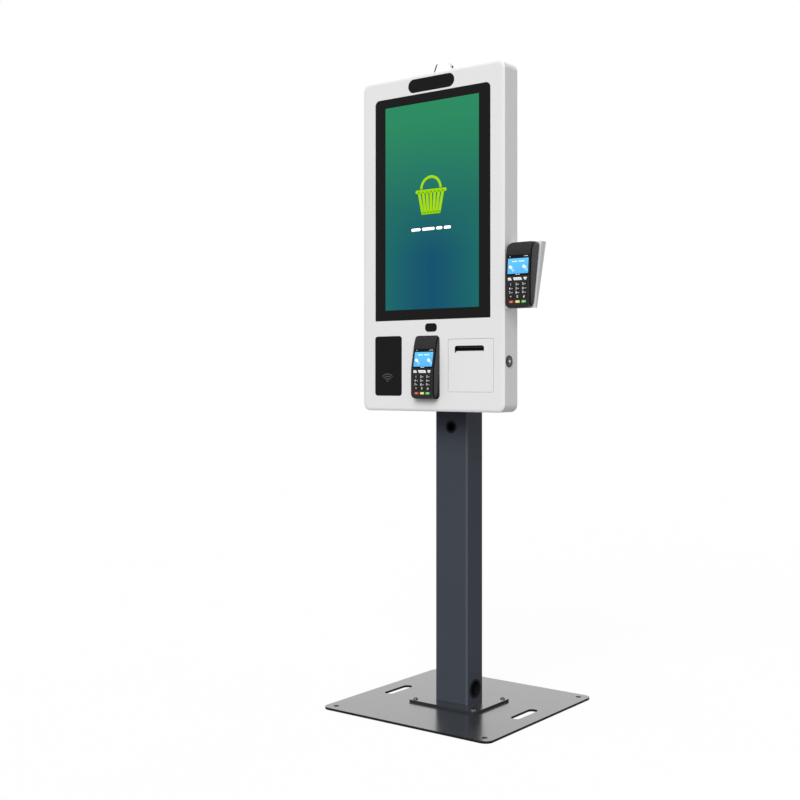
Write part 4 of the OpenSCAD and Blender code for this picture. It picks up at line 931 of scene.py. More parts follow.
def build_reader_symbol():
    """Three plain radio waves over a dot, printed on the reader panel."""
    panel = extent("reader_panel")
    x, z = panel.x - 2.5 * MM, panel.low.z + 34.8 * MM
    shapes = [arc_band(x, z, radius * MM, 2 * MM, 40, 140) for radius in (9.6, 15.8, 22)]
    shapes.append(arc_band(x, z + 3.3 * MM, 1.1 * MM, 2.1 * MM, 0, 359))
    bm = bmesh.new()
    flat_print(bm, shapes, panel.low.y - 0.04 * MM)
    piece("reader_symbol", bm, ["symbol"], "kiosk")


# ---- Printer ----

def build_printer_door():
    softened("printer_door", "enamel", 0.35 * MM)
    liner = softened("slot_insert", "slot_black_and_shade", 0.2 * MM, 2)
    slot = extent("slot_insert")
    for vert in liner.data.vertices:
        if vert.co.y < slot.low.y + 0.5 * MM:
            vert.co.y += 1 * MM
    rim, radius = 2.5 * MM, 6 * MM
    bm = bmesh.new()
    for side in (-1, 1):
        corner_x, corner_z = slot.x + side * (slot.width / 2 - rim), slot.high.z - rim
        fillet = [(corner_x, corner_z)]
        for angle in arc(0, 90, 8):
            fillet.append((corner_x - side * radius * (1 - math.sin(angle)),
                           corner_z - radius * (1 - math.cos(angle))))
        flat_print(bm, [fillet], slot.low.y + 0.02 * MM, 0.9 * MM)
    piece("slot_corners", bm, ["enamel"], "door")
    teeth, bar, depth, thick = 40, 80 * MM, 0.9 * MM, 0.5 * MM
    tooth, left, top = bar / teeth, slot.x - bar / 2, slot.high.z - rim - 4.5 * MM
    points = [(left, top + 1.6 * MM)]
    for i in range(teeth):
        points += [(left + i * tooth, top), (left + (i + 0.5) * tooth, top - depth)]
    points += [(left + bar, top), (left + bar, top + 1.6 * MM)]
    bm = bmesh.new()
    flat_print(bm, [points], slot.high.y - 1.5 * MM - thick, thick)
    piece("tear_bar", bm, ["dark_steel"], "door", sharp=30)


def mirrored(profile):
    """A profile and its mirror image at the other end."""
    return profile + [(radius, -along) for radius, along in reversed(profile)]


def build_platen():
    """The rubber roller that feeds the paper, on its steel shaft."""
    roller = extent("platen_roller")
    shaft, radius, half, soft = 3 * MM, roller.height / 2, roller.width / 2, 0.5 * MM
    rubber = half - 5.2 * MM
    bm = bmesh.new()
    turned(bm, mirrored([(shaft * 0.8, -half), (shaft, -half + soft), (shaft, -rubber),
                         (radius - soft, -rubber), (radius, -rubber + soft)]),
           (roller.x, roller.y, roller.z), RIGHT)
    for face in bm.faces:
        if abs(face.calc_center_median().x - roller.x) > rubber + 0.1 * MM:
            face.material_index = 1
    piece("platen", bm, ["rubber", "zinc"], "platen", ["platen_roller"])


def build_paper():
    """The paper roll with the rings of its layers, the loose end round it and its core."""
    roll = extent("paper_roll")
    middle = (roll.x, roll.y, roll.z)
    radius, half, core = roll.height / 2, roll.width / 2, 8 * MM
    layers = [(core + (radius - 8.4 * MM) * i / 8, -half + (0.3 * MM if i % 2 else 0.0)) for i in range(9)]
    bm = bmesh.new()
    turned(bm, mirrored([(core, -half + 0.2 * MM), *layers, (radius, -half + 0.4 * MM)]), middle, RIGHT, 72,
           tube=True)
    lift = radius + 0.15 * MM
    rows = []
    for offset in (0.0, 0.12 * MM):
        reach = lift * (1 - offset / radius)
        tail = round_points(roll.y, roll.z, reach, arc(150, -22.8, 24))
        rows += [ring_side(bm, tail, roll.x + end) for end in (-half, half)]
    for first, second in ((0, 1), (3, 2), (2, 0), (1, 3)):
        strip(bm, rows[first], rows[second])
    for i in (0, -1):
        bm.faces.new([rows[row][i] for row in (0, 1, 3, 2)])
    piece("paper", bm, ["paper"], "roll", ["paper_roll"])
    bore = 6.5 * MM
    bm = bmesh.new()
    turned(bm, [(bore, -half), (core, -half), (core, half), (bore, half)], middle, RIGHT, tube=True)
    piece("paper_core", bm, ["card_core"], "roll")


def build_printer_inside():
    softened("door_pins", "zinc", 0.3 * MM, 2)
    softened("printer_body", "printer", 0.5 * MM, 2)
    build_platen()
    build_paper()


# ---- Lock ----

def build_lock_ring():
    """The lock's black casting, the chrome ring in it and the nut behind the sheet."""
    barrel, side = extent("lock_barrel"), extent("front_housing").high.x
    start, proud, outer = barrel.low.x - side, barrel.high.x - side, barrel.height / 2
    neck, straight = 9.5 * MM, 0.55
    casting = [(6.6 * MM, start), (9 * MM, start), (neck, start + 0.5 * MM), (neck, 0), (outer, 0),
               (outer, proud * straight)]
    for t in arc(18, 90, 4):
        casting.append((outer - 1.0 * MM * (1 - math.cos(t)),
                        proud * straight + proud * (1 - straight) * math.sin(t)))
    casting += [(10.9 * MM, proud), (10.5 * MM, proud - 0.5 * MM)]
    chrome = [(radius * MM, proud + along * MM) for radius, along in
              ((10.0, -0.5), (9.7, -0.1), (9.1, 0.05), (8.3, -0.35), (7.2, -0.9), (6.6, -1.0))]
    bm = bmesh.new()
    loops = turned(bm, casting + chrome, (side, barrel.y, barrel.z), RIGHT, 64, tube=True)
    bright = set().union(*loops[len(casting):])
    for face in bm.faces:
        if bright.issuperset(face.verts):
            face.material_index = 1
    nut = round_points(barrel.y, barrel.z, 12.5 * MM, HEXAGON)
    closed(bm, [ring_side(bm, nut, side + along * MM) for along in (-8, -3)])
    piece("lock_ring", bm, ["lock_black", "chrome"], "kiosk", ["lock_barrel"])


def build_lock_plug():
    """The plug that the key turns, with its key slit and the cam behind it."""
    barrel, side = extent("lock_barrel"), extent("front_housing").high.x
    y, z = barrel.y, barrel.z
    low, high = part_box("lock_cam")
    cam, end = low.x - side, high.x - side
    radius, boss, cam_width, thick = 6.5 * MM, 9 * MM, 5 * MM, 3 * MM
    shoulder = end - 1.6 * MM
    profile = [(boss, cam), (boss, cam + thick), (radius, cam + thick), (radius, shoulder)]
    profile += [(radius - 1.5 * MM * (1 - math.cos(t)), shoulder + 1.1 * MM * math.sin(t))
                for t in arc(18, 90, 4)]
    profile += [(3.5 * MM, end - 0.2 * MM), (1.5 * MM, end)]
    bm = bmesh.new()
    turned(bm, profile, (side, y, z), RIGHT)
    arm = round_points(low.y + cam_width, z, cam_width, arc(90, 270, 12))
    arm += [(y, z - cam_width), (y, z + cam_width)]
    closed(bm, [ring_side(bm, arm, low.x + inset) for inset in (0.1 * MM, thick - 0.1 * MM)])
    plug = piece("lock_plug", bm, ["chrome"], "lock", ["lock_cam"])
    face = Vector((high.x, y, z))
    # Painted highlight: the middle of the plug's end gets the bright chrome in place of the dark one.
    refinish(plug, "polished", lambda at, facing: at.x > high.x - 1 * MM and facing.x > 0.9
             and (at - face).length < 2.9 * MM)
    tool = bmesh.new()
    slit = (6 * MM, 1.6 * MM, 7.5 * MM)
    bmesh.ops.create_cube(tool, size=1, matrix=Matrix.LocRotScale(face, None, slit))
    carve(plug, tool)


# ---- Column and base ----

def build_column():
    column = softened("column", "powder", 0.6 * MM)
    foot_top = extent("base_plate").high.z + 9 * MM
    # Painted highlight: the rounded corners, facing partly front and partly sideways, get the lighter copy
    # of the coating.
    refinish(column, "powder_corner_highlight",
             lambda at, facing: at.z > foot_top and abs(facing.x) > 0.2 and abs(facing.y) > 0.2)
    # Painted light and shade on the foot: the flange's upward faces get the base plate's bright gloss coat,
    # and its sides, with the lowest part of the tube, a near-black finish.
    refinish(column, "plate", lambda at, facing: at.z < foot_top and facing.z > 0.5)
    refinish(column, "flange_side_shade", lambda at, facing: at.z < foot_top and facing.z < 0.5)
    softened("cable_grommets", "rubber", 0.6 * MM)
    softened("column_cap", "plastic", 0.8 * MM)
    softened("head_bracket", "powder", 0.6 * MM)
    bm = bmesh.new()
    for low, high in islands("flange_bolts"):
        middle = (low + high) / 2
        socket_screw(bm, (middle.x, middle.y, low.z), UP, high.z - low.z, high.x - low.x, 3.3 * MM)
    piece("foot_bolts", bm, ["foot_bolt"], "kiosk", ["flange_bolts"])
    bm = bmesh.new()
    column_front = extent("head_bracket").high.y
    head, head_height = 14 * MM, 4.4 * MM
    nut = round_points(0, 0, 7.5 * MM, HEXAGON)
    for low, high in islands("bracket_bolts"):
        middle, reach = (low + high) / 2, high.y - low.y
        if high.y > column_front + 2 * MM and low.y < column_front - 12 * MM:
            socket_screw(bm, (middle.x, low.y, middle.z), BACK, reach, head, head_height)
            closed(bm, [ring(bm, nut, low.y + along * MM, middle.x, middle.z) for along in (1, 6)])
        else:
            socket_screw(bm, (middle.x, high.y, middle.z), -BACK, reach, head, head_height)
    piece("bracket_screws", bm, ["zinc"], "kiosk", ["bracket_bolts"])


def build_base_plate():
    base = softened("base_plate", "plate", 0.9 * MM)
    # Painted shade: every face of the plate that does not face up gets a near-black finish.
    refinish(base, "plate_side_shade", lambda at, facing: facing.z < 0.5)


# ---- Payment terminals ----

TERMINAL = SimpleNamespace(
    height=160 * MM, half=38 * MM, corner=10 * MM, foot_corner=14 * MM, foot_depth=13 * MM,
    top_depth=42 * MM, crease=74 * MM, curl=128 * MM, run=22 * MM, foot_round=6 * MM,
    groove=(33 * MM, 36 * MM), groove_depth=6.5 * MM, display_z=102 * MM,
)
DISPLAY_LEAN = {"front": 0.2, "side": 0.08}


def falls_back(radius, along):
    """How far a round falls back, at a distance along it from where it starts."""
    return radius - math.sqrt(max(radius ** 2 - along ** 2, 0))


def terminal_front(side, z):
    """Depth of a terminal's face at height z: upright keys, a display that leans back, a curled top."""
    t = TERMINAL
    if z < t.foot_round:
        return falls_back(t.foot_round, t.foot_round - z)
    depth = DISPLAY_LEAN[side] * max(z - t.crease, 0)
    if z > t.curl:
        rise, run = t.height - t.curl, t.run - DISPLAY_LEAN[side] * (t.height - t.crease)
        depth += falls_back((run ** 2 + rise ** 2) / (2 * run), z - t.curl)
    return depth


def terminal_back(z):
    return TERMINAL.foot_depth + (TERMINAL.top_depth - TERMINAL.foot_depth) * z / TERMINAL.height


def terminal_half(z):
    """Half of a terminal's width at height z."""
    t = TERMINAL
    near, corner = (z, t.foot_corner) if z < t.height / 2 else (t.height - z, t.corner)
    return t.half - falls_back(corner, corner - near) if near < corner else t.half


def terminal_levels():
    """Heights of the casing's sections, close together where it curves."""
    end = [1 - math.cos(math.radians(a)) for a in (0, 8, 16, 25, 35, 45, 56, 67, 78, 90)]
    levels = [TERMINAL.foot_corner * value for value in end]
    levels += [value * MM for value in (20, 40, 60, 70, 74, 78, 100, 115, 124, 128)]
    levels += [(128 + 2.2 * i) * MM for i in range(1, 10)]
    levels += [TERMINAL.height - TERMINAL.corner * value for value in end]
    return sorted(set(round(v, 7) for v in levels))


def terminal_section(side, z):
    """(x, y, part) round the casing at height z; part 1 is the rear shell and the swipe rail."""
    front, back, half = terminal_front(side, z), terminal_back(z), terminal_half(z)
    round_y = min(7 * MM, 0.45 * (back - front))
    round_x = min(4.5 * MM, round_y * 0.8)
    rear_round = min(4 * MM, 0.3 * (back - front))
    seam_rise = min(max(z / (110 * MM), 0.0), 1.0)
    seam = front + 7.6 * MM + 5 * MM * seam_rise * seam_rise * (3 - 2 * seam_rise)
    seam = max(min(seam, back - rear_round - 0.9 * MM), front + round_y + 0.1 * MM)
    notch = 0.35 * MM
    right = [(half - round_x + round_x * math.sin(t), front + round_y - round_y * math.cos(t), 0)
             for t in arc(0, 90, 6)]
    right += [(half, seam - notch, 0), (half - notch, seam - notch * 0.4, 0),
              (half - notch, seam + notch * 0.4, 1), (half, seam + notch, 1)]
    right += [(half - rear_round + rear_round * math.cos(t), back - rear_round + rear_round * math.sin(t), 1)
              for t in arc(0, 90, 5)]
    left = [(-x, y, part) for x, y, part in reversed(right)]
    return [(x, y, 1) for x, y, part in right] + left


def lean_back(bm, side, foot_z):
    """Moves what was built on a flat face back to where the terminal's face is."""
    for vert in bm.verts:
        vert.co.y += terminal_front(side, vert.co.z - foot_z)


def cut_pocket(bm, shape, gap, front, back):
    """Adds a pocket round a shape, with a gap about it, to what will be cut out."""
    x, z, width, height, radius, leans = shape
    points = outline(width + 2 * gap, height + 2 * gap, radius + gap, 4, leans)
    closed(bm, [ring(bm, points, y, x, z) for y in (front, back)])


def cut_swipe_groove(bm, side, at):
    """Adds the card swipe groove down the right of the face to what will be cut out."""
    t, below, above = TERMINAL, -2 * MM, 162 * MM
    levels = [below, 4 * MM] + [v for v in terminal_levels() if 6 * MM < v < 158 * MM] + [above]
    shape = [(at.y + terminal_front(side, min(max(z, 6 * MM), 159 * MM)) + t.groove_depth, at.z + z)
             for z in levels]
    shape += [(at.y - 2 * MM, at.z + above), (at.y - 2 * MM, at.z + below)]
    closed(bm, [ring_side(bm, shape, at.x + x) for x in t.groove])


def build_terminal_case(side):
    box = extent(side + "_terminal_case")
    at = Vector((box.x, box.low.y, box.low.z))
    bm = bmesh.new()
    loops = []
    for z in terminal_levels():
        section = terminal_section(side, z)
        loops.append([bm.verts.new(at + Vector((x, y, z))) for x, y, part in section])
    parts = [part for x, y, part in section]
    for first, second in zip(loops, loops[1:]):
        for i, face in enumerate(bridge(bm, first, second)):
            face.material_index = 1 if parts[i] and parts[(i + 1) % len(parts)] else 0
    bm.faces.new(loops[0][::-1])
    bm.faces.new(loops[-1])
    case = piece(side + "_casing", bm, ["terminal", "terminal_rail"], "kiosk",
                 [side + "_terminal_case"], sharp=45)
    outside = at.y - 2 * MM
    tool = bmesh.new()
    for shapes in key_shapes(side).values():
        for shape in shapes:
            cut_pocket(tool, shape, 0.3 * MM, outside, at.y + 6.5 * MM)
    card_slot = [(at.x + x * MM, at.y + y * MM)
                 for x, y in ((-27.5, 6.9), (27.5, 6.9), (27.5, 9.1), (-27.5, 9.1))]
    closed(tool, [ring_flat(tool, card_slot, at.z + z * MM) for z in (-2, 14)])
    cut_swipe_groove(tool, side, at)
    carve(case, tool)
    lens_tool = bmesh.new()
    lens = (extent(side + "_terminal_display").x, at.z + TERMINAL.display_z, 62.4 * MM, 50.4 * MM, 2.4 * MM)
    cut_pocket(lens_tool, (*lens, (0, 0)), 0.0, outside, at.y + 3 * MM)
    lean_back(lens_tool, side, at.z)
    carve(case, lens_tool)
    left, right = TERMINAL.groove
    slack = 0.1 * MM

    def in_groove(spot, facing):
        across, sunk = spot.x - at.x, spot.y - at.y - terminal_front(side, spot.z - at.z)
        return left - slack < across < right + slack and 0.3 * MM < sunk < TERMINAL.groove_depth + slack

    # Painted shade: the faces inside the swipe groove get the near-black finish.
    refinish(case, "slot_black_and_shade", in_groove)
    build_paper_lid(side, at)


def build_paper_lid(side, at):
    """The curved lid over a terminal's own printer, standing a little out of the casing."""
    bm = bmesh.new()
    rows = []
    half, proud, bevel, sunk = 29 * MM, 0.4 * MM, 0.3 * MM, 0.1 * MM
    last = 9
    for index in range(last + 1):
        z = (134 + 2.4 * index) * MM
        y = terminal_front(side, z)
        top = y if index in (0, last) else y - proud
        line = [(-half, y + proud), (-half, y - sunk), (-half + bevel, top), (0, top), (half - bevel, top),
                (half, y - sunk), (half, y + proud)]
        rows.append([bm.verts.new(at + Vector((x, depth, z))) for x, depth in line])
    for first, second in zip(rows, rows[1:]):
        bridge(bm, first, second)
    bm.faces.new(rows[0])
    bm.faces.new(rows[-1][::-1])
    piece(side + "_paper_lid", bm, ["terminal"], "kiosk", sharp=40)


# ---- Keys ----

KEY_CORNER = 2 * MM
FUNCTION_LEANS = {"left": (0.0, -0.45), "middle": (-0.45, -0.45), "right": (-0.45, 0.45)}
# How far the coloured keys' caps sit from the middle of their solids.
COLOURED_KEYS = {"red": 1 * MM, "yellow": 0.0, "green": -1.4 * MM}
NUMBER_ROWS = ("123", "456", "789", "*0#")
LETTERS = {"2": "ABC", "3": "DEF", "4": "GHI", "5": "JKL", "6": "MNO", "7": "PQRS", "8": "TUV", "9": "WXYZ"}
# Marks on the other keys, as bars about the key's middle. The green key's mark is a ring.
KEY_MARKS = {
    "left": ((-1.6, 0, 1.6, 0, 0.8),),
    "middle": ((-7, 0, -4.5, 0, 0.8), (4.5, 0, 7, 0, 0.8),
               (-1.2, -0.7, 0, 0.7, 0.6), (0, 0.7, 1.2, -0.7, 0.6)),
    "right": ((-1.2, 0.7, 0, -0.7, 0.6), (0, -0.7, 1.2, 0.7, 0.6)),
    "red": ((-1.3, -1.3, 1.3, 1.3, 0.5), (-1.3, 1.3, 1.3, -1.3, 0.5)),
    "yellow": ((-1.3, 0, 0.78, 1.3, 0.5), (-1.3, 0, 0.78, -1.3, 0.5)),
    "green": (),
}


def key_cap(low, high, less_width=0.0, less_height=0.0):
    """(x, z, width, height) of a key's cap, whose solid is 0.8 mm wider all round behind the face."""
    wider = 1.6 * MM
    return ((low.x + high.x) / 2, (low.z + high.z) / 2, high.x - low.x - wider - less_width,
            high.z - low.z - wider - less_height)


def key_shapes(side):
    """The outlines of a terminal's keys, as (x, z, width, height, radius, leans), by node."""
    shapes = {}
    for place, leans in FUNCTION_LEANS.items():
        node = f"{side}_function_key_{place}"
        x, z, width, height = key_cap(*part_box(node))
        low, high = [abs(lean) * height / 2 for lean in leans]
        shapes[node] = [(x + (low - high) / 2, z, width - low - high, height, 1.8 * MM, leans)]
    for row in range(len(NUMBER_ROWS)):
        node = f"{side}_number_row_{row + 1}"
        shapes[node] = [(*key_cap(*box), KEY_CORNER, (0, 0)) for box in islands(node)]
    for name, shift in COLOURED_KEYS.items():
        node = f"{side}_{name}_key"
        x, z, width, height = key_cap(*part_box(node), 3 * MM, 1 * MM)
        shapes[node] = [(x + shift, z - 0.5 * MM, width, height, KEY_CORNER, (0, 0))]
    return shapes


def draw_key(bm, shape, front):
    """A key with soft edges and a crowned top. front is the depth of its highest point."""
    x, z, width, height, radius, leans = shape
    crown = edges().key_crown
    steps = ((0, 4.3 * MM), (0, crown + 0.45 * MM), (0.14 * MM, crown + 0.18 * MM), (0.45 * MM, crown),
             (1.0 * MM, crown * 0.45), (1.7 * MM, crown * 0.14), (2.4 * MM, crown * 0.02))
    loops = []
    for inset, drop in steps:
        points = outline(width - 2 * inset, height - 2 * inset, max(radius - inset, 0.3 * MM), 5, leans)
        loops.append(ring(bm, points, front + drop, x, z))
    closed(bm, loops)


def add_text(bm, text, x, z, front, size, index=1):
    """Adds raised letters that face the front to a mesh."""
    curve = bpy.data.curves.new("numeral", "FONT")
    settings = {"body": text, "size": size, "align_x": "CENTER", "align_y": "CENTER", "extrude": 0.11 * MM,
                "offset": size * 0.012, "resolution_u": 4}
    for label, value in settings.items():
        setattr(curve, label, value)
    holder = new_object("numeral", curve)
    bpy.context.view_layer.update()
    mesh = final_mesh(holder)
    mesh.transform(Matrix.Translation((x, front, z)) @ Matrix.Rotation(math.pi / 2, 4, "X"))
    bpy.data.objects.remove(holder)
    bpy.data.curves.remove(curve)
    count = len(bm.faces)
    bm.from_mesh(mesh)
    bpy.data.meshes.remove(mesh)
    bm.faces.ensure_lookup_table()
    for face in bm.faces[count:]:
        face.material_index = index


def build_number_row(node, shapes, legends, front):
    """One row of number keys with their numerals, and smaller letters beside them."""
    bm = bmesh.new()
    raised = front + 0.09 * MM
    for shape, legend in zip(shapes, legends):
        draw_key(bm, shape, front)
        x, z = shape[:2]
        letters = LETTERS.get(legend)
        aside = 2.9 * MM if letters else 0.0
        drop = 0.9 * MM if legend == "*" else 0.0
        add_text(bm, legend, x - aside, z - drop, raised, 8.4 * MM)
        if letters:
            small = 3.1 * MM if len(letters) == 3 else 2.35 * MM
            add_text(bm, letters, x + 2.7 * MM, z - 0.3 * MM, raised, small)
    piece(node + "_caps", bm, ["key_dark", "legend"], node, [node], sharp=50, turn_out=False)


def build_marked_key(node, shape, name, front):
    """A function key or a coloured key, with the mark printed on it."""
    x, z = shape[:2]
    marks = bars(KEY_MARKS[name], x, z) or [arc_band(x, z, 1.3 * MM, 0.5 * MM, 0, 359, 28)]
    look, legend = ("key_" + name, "legend_pale") if name in COLOURED_KEYS else ("key_white", "legend_dark")
    bm = bmesh.new()
    draw_key(bm, shape, front)
    flat_print(bm, marks, front - 0.03 * MM, 0.08 * MM, 1)
    piece(node + "_cap", bm, [look, legend], node, [node], sharp=50)


def build_keys(side):
    """Every key of one terminal: function keys, four rows of number keys and three coloured keys."""
    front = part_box(side + "_terminal_case")[0].y - 1.3 * MM
    names = (*FUNCTION_LEANS, *NUMBER_ROWS, *COLOURED_KEYS)
    for (node, shapes), name in zip(key_shapes(side).items(), names):
        if name in NUMBER_ROWS:
            build_number_row(node, shapes, name, front)
        else:
            build_marked_key(node, shapes[0], name, front)


# ---- Terminal displays and mounts ----

# Plain marks on a display, as bars about its middle: two rows, one pair at the top and one at the foot,
# and three bars of growing height at the top right.
DISPLAY_MARKS = (
    *((start, level, end, level, width) for start, end, level, width in (
        (-17, -11, 9.5, 1.6), (-9, -4, 9.5, 1.6), (2, 8, 9.5, 1.6), (10, 16, 9.5, 1.6),
        (-24, -23.2, 21.6, 1.3), (24, 25.6, 21.6, 1.5), (-5, -1, -22, 1.1), (1.5, 5, -22, 1.1))),
    *((aside, 20.8, aside, top, 0.9) for aside, top in ((16, 21.3), (18.4, 22.1), (20.8, 22.9))),
)
CARD_PLACES, CARD_TURN = (-21, 17), -0.5


def build_terminal_display(side):
    """The display's black lens, its lit area and the plain marks on it."""
    case = extent(side + "_terminal_case")
    x, z, face = case.x, case.low.z + TERMINAL.display_z, case.low.y
    sunk = face + 0.05 * MM
    bm = bmesh.new()
    front = plate(bm, 62 * MM, 50 * MM, 2.2 * MM, sunk, face + 2.8 * MM, 0.3 * MM, x, z, 6)
    lit_z, lit_width, lit_height = z - 1.7 * MM, 57.5 * MM, 37 * MM
    lit = ring(bm, outline(lit_width, lit_height, 0.5 * MM, 3), sunk, x, lit_z)
    fill(bm, front, [lit])
    bm.faces.new(lit).material_index = 1
    lean_back(bm, side, case.low.z)
    made = piece(side + "_display_lens", bm, ["lens"], "kiosk",
                 [side + "_terminal_display"])
    made.data.materials.append(finish_terminal_screen(
        side + "_display_lit", lit_z - lit_height / 2, lit_z + lit_height / 2))
    marks = bars(DISPLAY_MARKS, x, z)
    cos, sin = math.cos(CARD_TURN), math.sin(CARD_TURN)
    for place in CARD_PLACES:
        card_x, card_z = x + place * MM, z - 4 * MM
        marks.append([(card_x + px * cos - pz * sin, card_z + px * sin + pz * cos)
                      for px, pz in outline(8.8 * MM, 6.2 * MM, 1.2 * MM, 3)])
        marks += bars(((2.6, -7.6, 8, -15, 0.6), (5.6, -6, 11, -13.4, 0.6)), card_x, z)
    bm = bmesh.new()
    flat_print(bm, marks, face)
    lean_back(bm, side, case.low.z)
    piece(side + "_display_marks", bm, ["display_pale"], "kiosk")


def build_terminals():
    for side in DISPLAY_LEAN:
        build_terminal_case(side)
        build_terminal_display(side)
        build_keys(side)
    softened("side_bracket", "bracket", edges().sheet_edge)
    softened("terminal_cradle", "plastic", 0.5 * MM, 2)


# ---- Inside ----

def build_inside():
    for node in ("camera_module", "scanner_module", "reader_board", "main_board"):
        dress(node, "circuit")
    for side in DISPLAY_LEAN:
        board = softened(side + "_terminal_board", "circuit", 0.1 * MM, 1)
        box = extent(side + "_terminal_board")
        lean, reach = terminal_front(side, TERMINAL.curl) / box.height, TERMINAL.groove[0] - 1 * MM
        for vert in board.data.vertices:
            vert.co.x = min(max(vert.co.x, box.x - reach), box.x + reach)
            vert.co.y += lean * (vert.co.z - box.low.z)
    for node, look in (("display_frame", "sheet"), ("lcd_panel", "plastic"), ("power_supply", "sheet"),
                       ("loudspeakers", "plastic")):
        dress(node, look)


# ---- Stage ----

WORLD_WHITE = (1, 1, 1)
FLOOR_BOUNCE = 0.27
SUN_DIRECTION = (0.2, -0.76, 0.56)
SUN_WIDTH = math.radians(38)
CAMERA_PLACE = (1.77613, -2.59834, 0.85098)
CAMERA_TURN = (math.radians(90), 0, math.radians(37.18))
CAMERA_SHIFT = -0.0261


def seen_directly(nodes):
    """1 for rays from the camera and for mirrored and refracted ones, 0 for light that a surface gathers."""
    path = nodes.add("ShaderNodeLightPath").outputs
    either = nodes.math("MAXIMUM", path["Is Camera Ray"], path["Is Glossy Ray"])
    return nodes.math("MAXIMUM", either, path["Is Transmission Ray"])


def build_camera():
    data = bpy.data.cameras.new("camera")
    data.lens = stage().focal_length
    data.sensor_width = 36
    data.shift_y = CAMERA_SHIFT
    data.clip_end = 100
    camera = new_object("camera", data)
    camera.location = CAMERA_PLACE
    camera.rotation_euler = CAMERA_TURN
    bpy.context.scene.camera = camera


def build_world():
    world = bpy.data.worlds.new("studio")
    world.use_nodes = True
    bpy.context.scene.world = world
    nodes = Nodes(world.node_tree)
    background = world.node_tree.nodes["Background"].inputs
    nodes.put(background["Color"], WORLD_WHITE)
    nodes.put(background["Strength"], nodes.span(seen_directly(nodes), 0.0, 1.0, stage().daylight, 1.0))
    bpy.context.scene.view_settings.view_transform = "Standard"


def build_floor():
    """A wide floor that melts into the white background."""
    bm = bmesh.new()
    bmesh.ops.create_grid(bm, x_segments=8, y_segments=8, size=14)
    floor = mesh_object("studio_floor", bm)
    floor.location.z = -0.2 * MM
    material = bpy.data.materials.new("studio_floor")
    material.use_nodes = True
    nodes = Nodes(material.node_tree)
    shader = nodes.tree.nodes["Principled BSDF"]
    nodes.put(shader.inputs["Roughness"], 0.9)
    nodes.put(shader.inputs["Specular IOR Level"], 0.0)
    tone = nodes.span(nodes.noise(nodes.place(), 1.5, 3.0), 0.3, 0.7, 0.9, 0.94)
    seen = nodes.math("MULTIPLY", tone, nodes.span(seen_directly(nodes), 0.0, 1.0, FLOOR_BOUNCE, 1.0))
    nodes.put(shader.inputs["Base Color"], seen)
    glow = nodes.add("ShaderNodeEmission", {"Strength": 1.0})
    amount = nodes.math("MULTIPLY", seen_directly(nodes), stage().floor_whiteness)
    mix = nodes.add("ShaderNodeMixShader", {"Fac": amount, 1: shader.outputs[0], 2: glow.outputs[0]})
    nodes.put(nodes.tree.nodes["Material Output"].inputs["Surface"], mix.outputs[0])
    floor.data.materials.append(material)


def build_lights():
    sun = bpy.data.lights.new("front_light", "SUN")
    sun.energy = stage().key_light
    sun.angle = SUN_WIDTH
    new_object("front_light", sun).rotation_euler = Vector(SUN_DIRECTION).to_track_quat("Z", "Y").to_euler()


# ---- Operators ----

class KioskOperator(bpy.types.Operator):
    """Common ground of the kiosk's operators."""

    bl_options = {"REGISTER", "UNDO"}
    steps = ()

    def execute(self, context):
        for step in self.steps:
            step()
        return {"FINISHED"}


class KIOSK_OT_stage(KioskOperator):
    """Set up the camera, the light and the floor"""

    bl_idname = "kiosk.stage"
    bl_label = "Stage"
    steps = (build_camera, build_world, build_floor, build_lights)


class KIOSK_OT_finishes(KioskOperator):
    """Make the shared node groups and every material"""

    bl_idname = "kiosk.finishes"
    bl_label = "Finishes"
    steps = (build_groups, build_finishes)


class KIOSK_OT_head(KioskOperator):
    """Build the head's housing, its rear cover and the status lamp"""

    bl_idname = "kiosk.head"
    bl_label = "Head"
    steps = (build_front_housing, build_rear_cover, build_lamp)


class KIOSK_OT_screen(KioskOperator):
    """Build the touch screen and what it shows"""

    bl_idname = "kiosk.screen"
    bl_label = "Touch screen"
    steps = (build_touch_glass,)


class KIOSK_OT_windows(KioskOperator):
    """Build the camera window, the scanner window and the reader panel"""

    bl_idname = "kiosk.windows"
    bl_label = "Windows"
    steps = (build_windows, build_reader_symbol)


class KIOSK_OT_printer(KioskOperator):
    """Build the printer's door, its slot and what lies behind it"""

    bl_idname = "kiosk.printer"
    bl_label = "Printer"
    steps = (build_printer_door, build_printer_inside)


class KIOSK_OT_lock(KioskOperator):
    """Build the lock in the head's side"""

    bl_idname = "kiosk.lock"
    bl_label = "Lock"
    steps = (build_lock_ring, build_lock_plug)


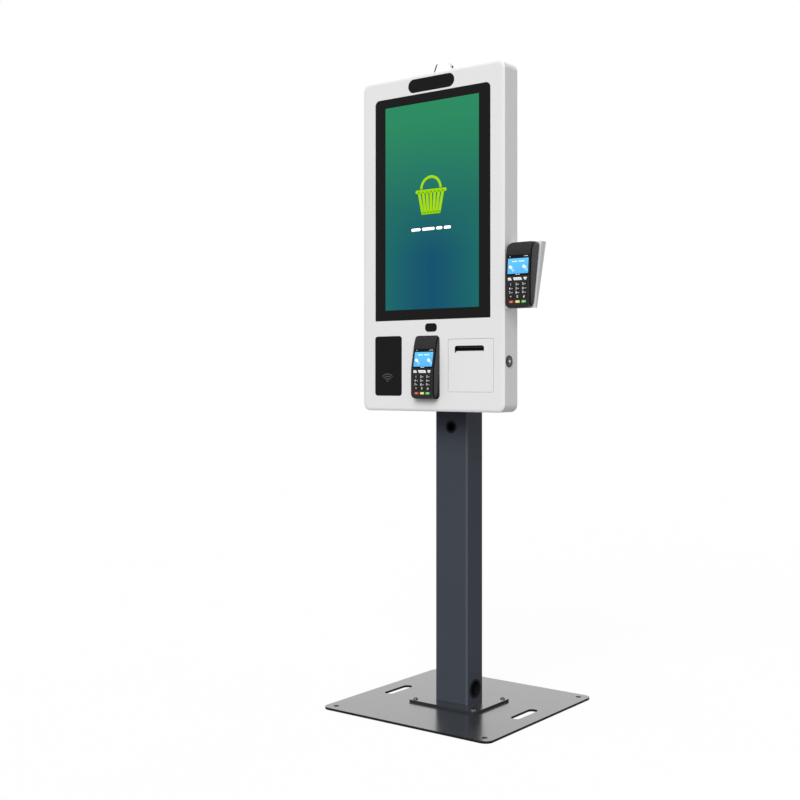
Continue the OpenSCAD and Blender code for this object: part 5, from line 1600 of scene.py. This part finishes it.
class KIOSK_OT_terminals(KioskOperator):
    """Build both payment terminals and what carries them"""

    bl_idname = "kiosk.terminals"
    bl_label = "Payment terminals"
    steps = (build_terminals,)


class KIOSK_OT_column(KioskOperator):
    """Build the column, its cable holes and its bolts"""

    bl_idname = "kiosk.column"
    bl_label = "Column"
    steps = (build_column,)


class KIOSK_OT_base(KioskOperator):
    """Build the base plate"""

    bl_idname = "kiosk.base"
    bl_label = "Base plate"
    steps = (build_base_plate,)


class KIOSK_OT_inside(KioskOperator):
    """Give the boards and the other hidden solids their finishes"""

    bl_idname = "kiosk.inside"
    bl_label = "Inside"
    steps = (build_inside,)


OPERATORS = (
    KIOSK_OT_stage, KIOSK_OT_finishes, KIOSK_OT_head, KIOSK_OT_screen, KIOSK_OT_windows, KIOSK_OT_printer,
    KIOSK_OT_lock, KIOSK_OT_terminals, KIOSK_OT_column, KIOSK_OT_base, KIOSK_OT_inside,
)


class KIOSK_PT_panel(bpy.types.Panel):
    """Lists the kiosk's operators and settings."""

    bl_label = "Self Checkout Kiosk"
    bl_idname = "KIOSK_PT_panel"
    bl_space_type = "VIEW_3D"
    bl_region_type = "UI"
    bl_category = "Kiosk"

    def draw(self, context):
        for operator in OPERATORS:
            self.layout.operator(operator.bl_idname)
        for name, group in SETTING_GROUPS.items():
            box = self.layout.box()
            box.label(text=group.__doc__)
            for label in group.__annotations__:
                box.prop(getattr(context.scene, name), label)


def register():
    for name, group in SETTING_GROUPS.items():
        bpy.utils.register_class(group)
        setattr(bpy.types.Scene, name, PointerProperty(type=group))
    for item in (*OPERATORS, KIOSK_PT_panel):
        bpy.utils.register_class(item)


def unregister():
    for item in reversed((*OPERATORS, KIOSK_PT_panel)):
        bpy.utils.unregister_class(item)
    for name, group in reversed(SETTING_GROUPS.items()):
        delattr(bpy.types.Scene, name)
        bpy.utils.unregister_class(group)


def main():
    """Builds the whole kiosk."""
    register()
    for operator in OPERATORS:
        group, name = operator.bl_idname.split(".")
        getattr(getattr(bpy.ops, group), name)()
    bpy.context.view_layer.update()


if __name__ == "__main__":
    main()
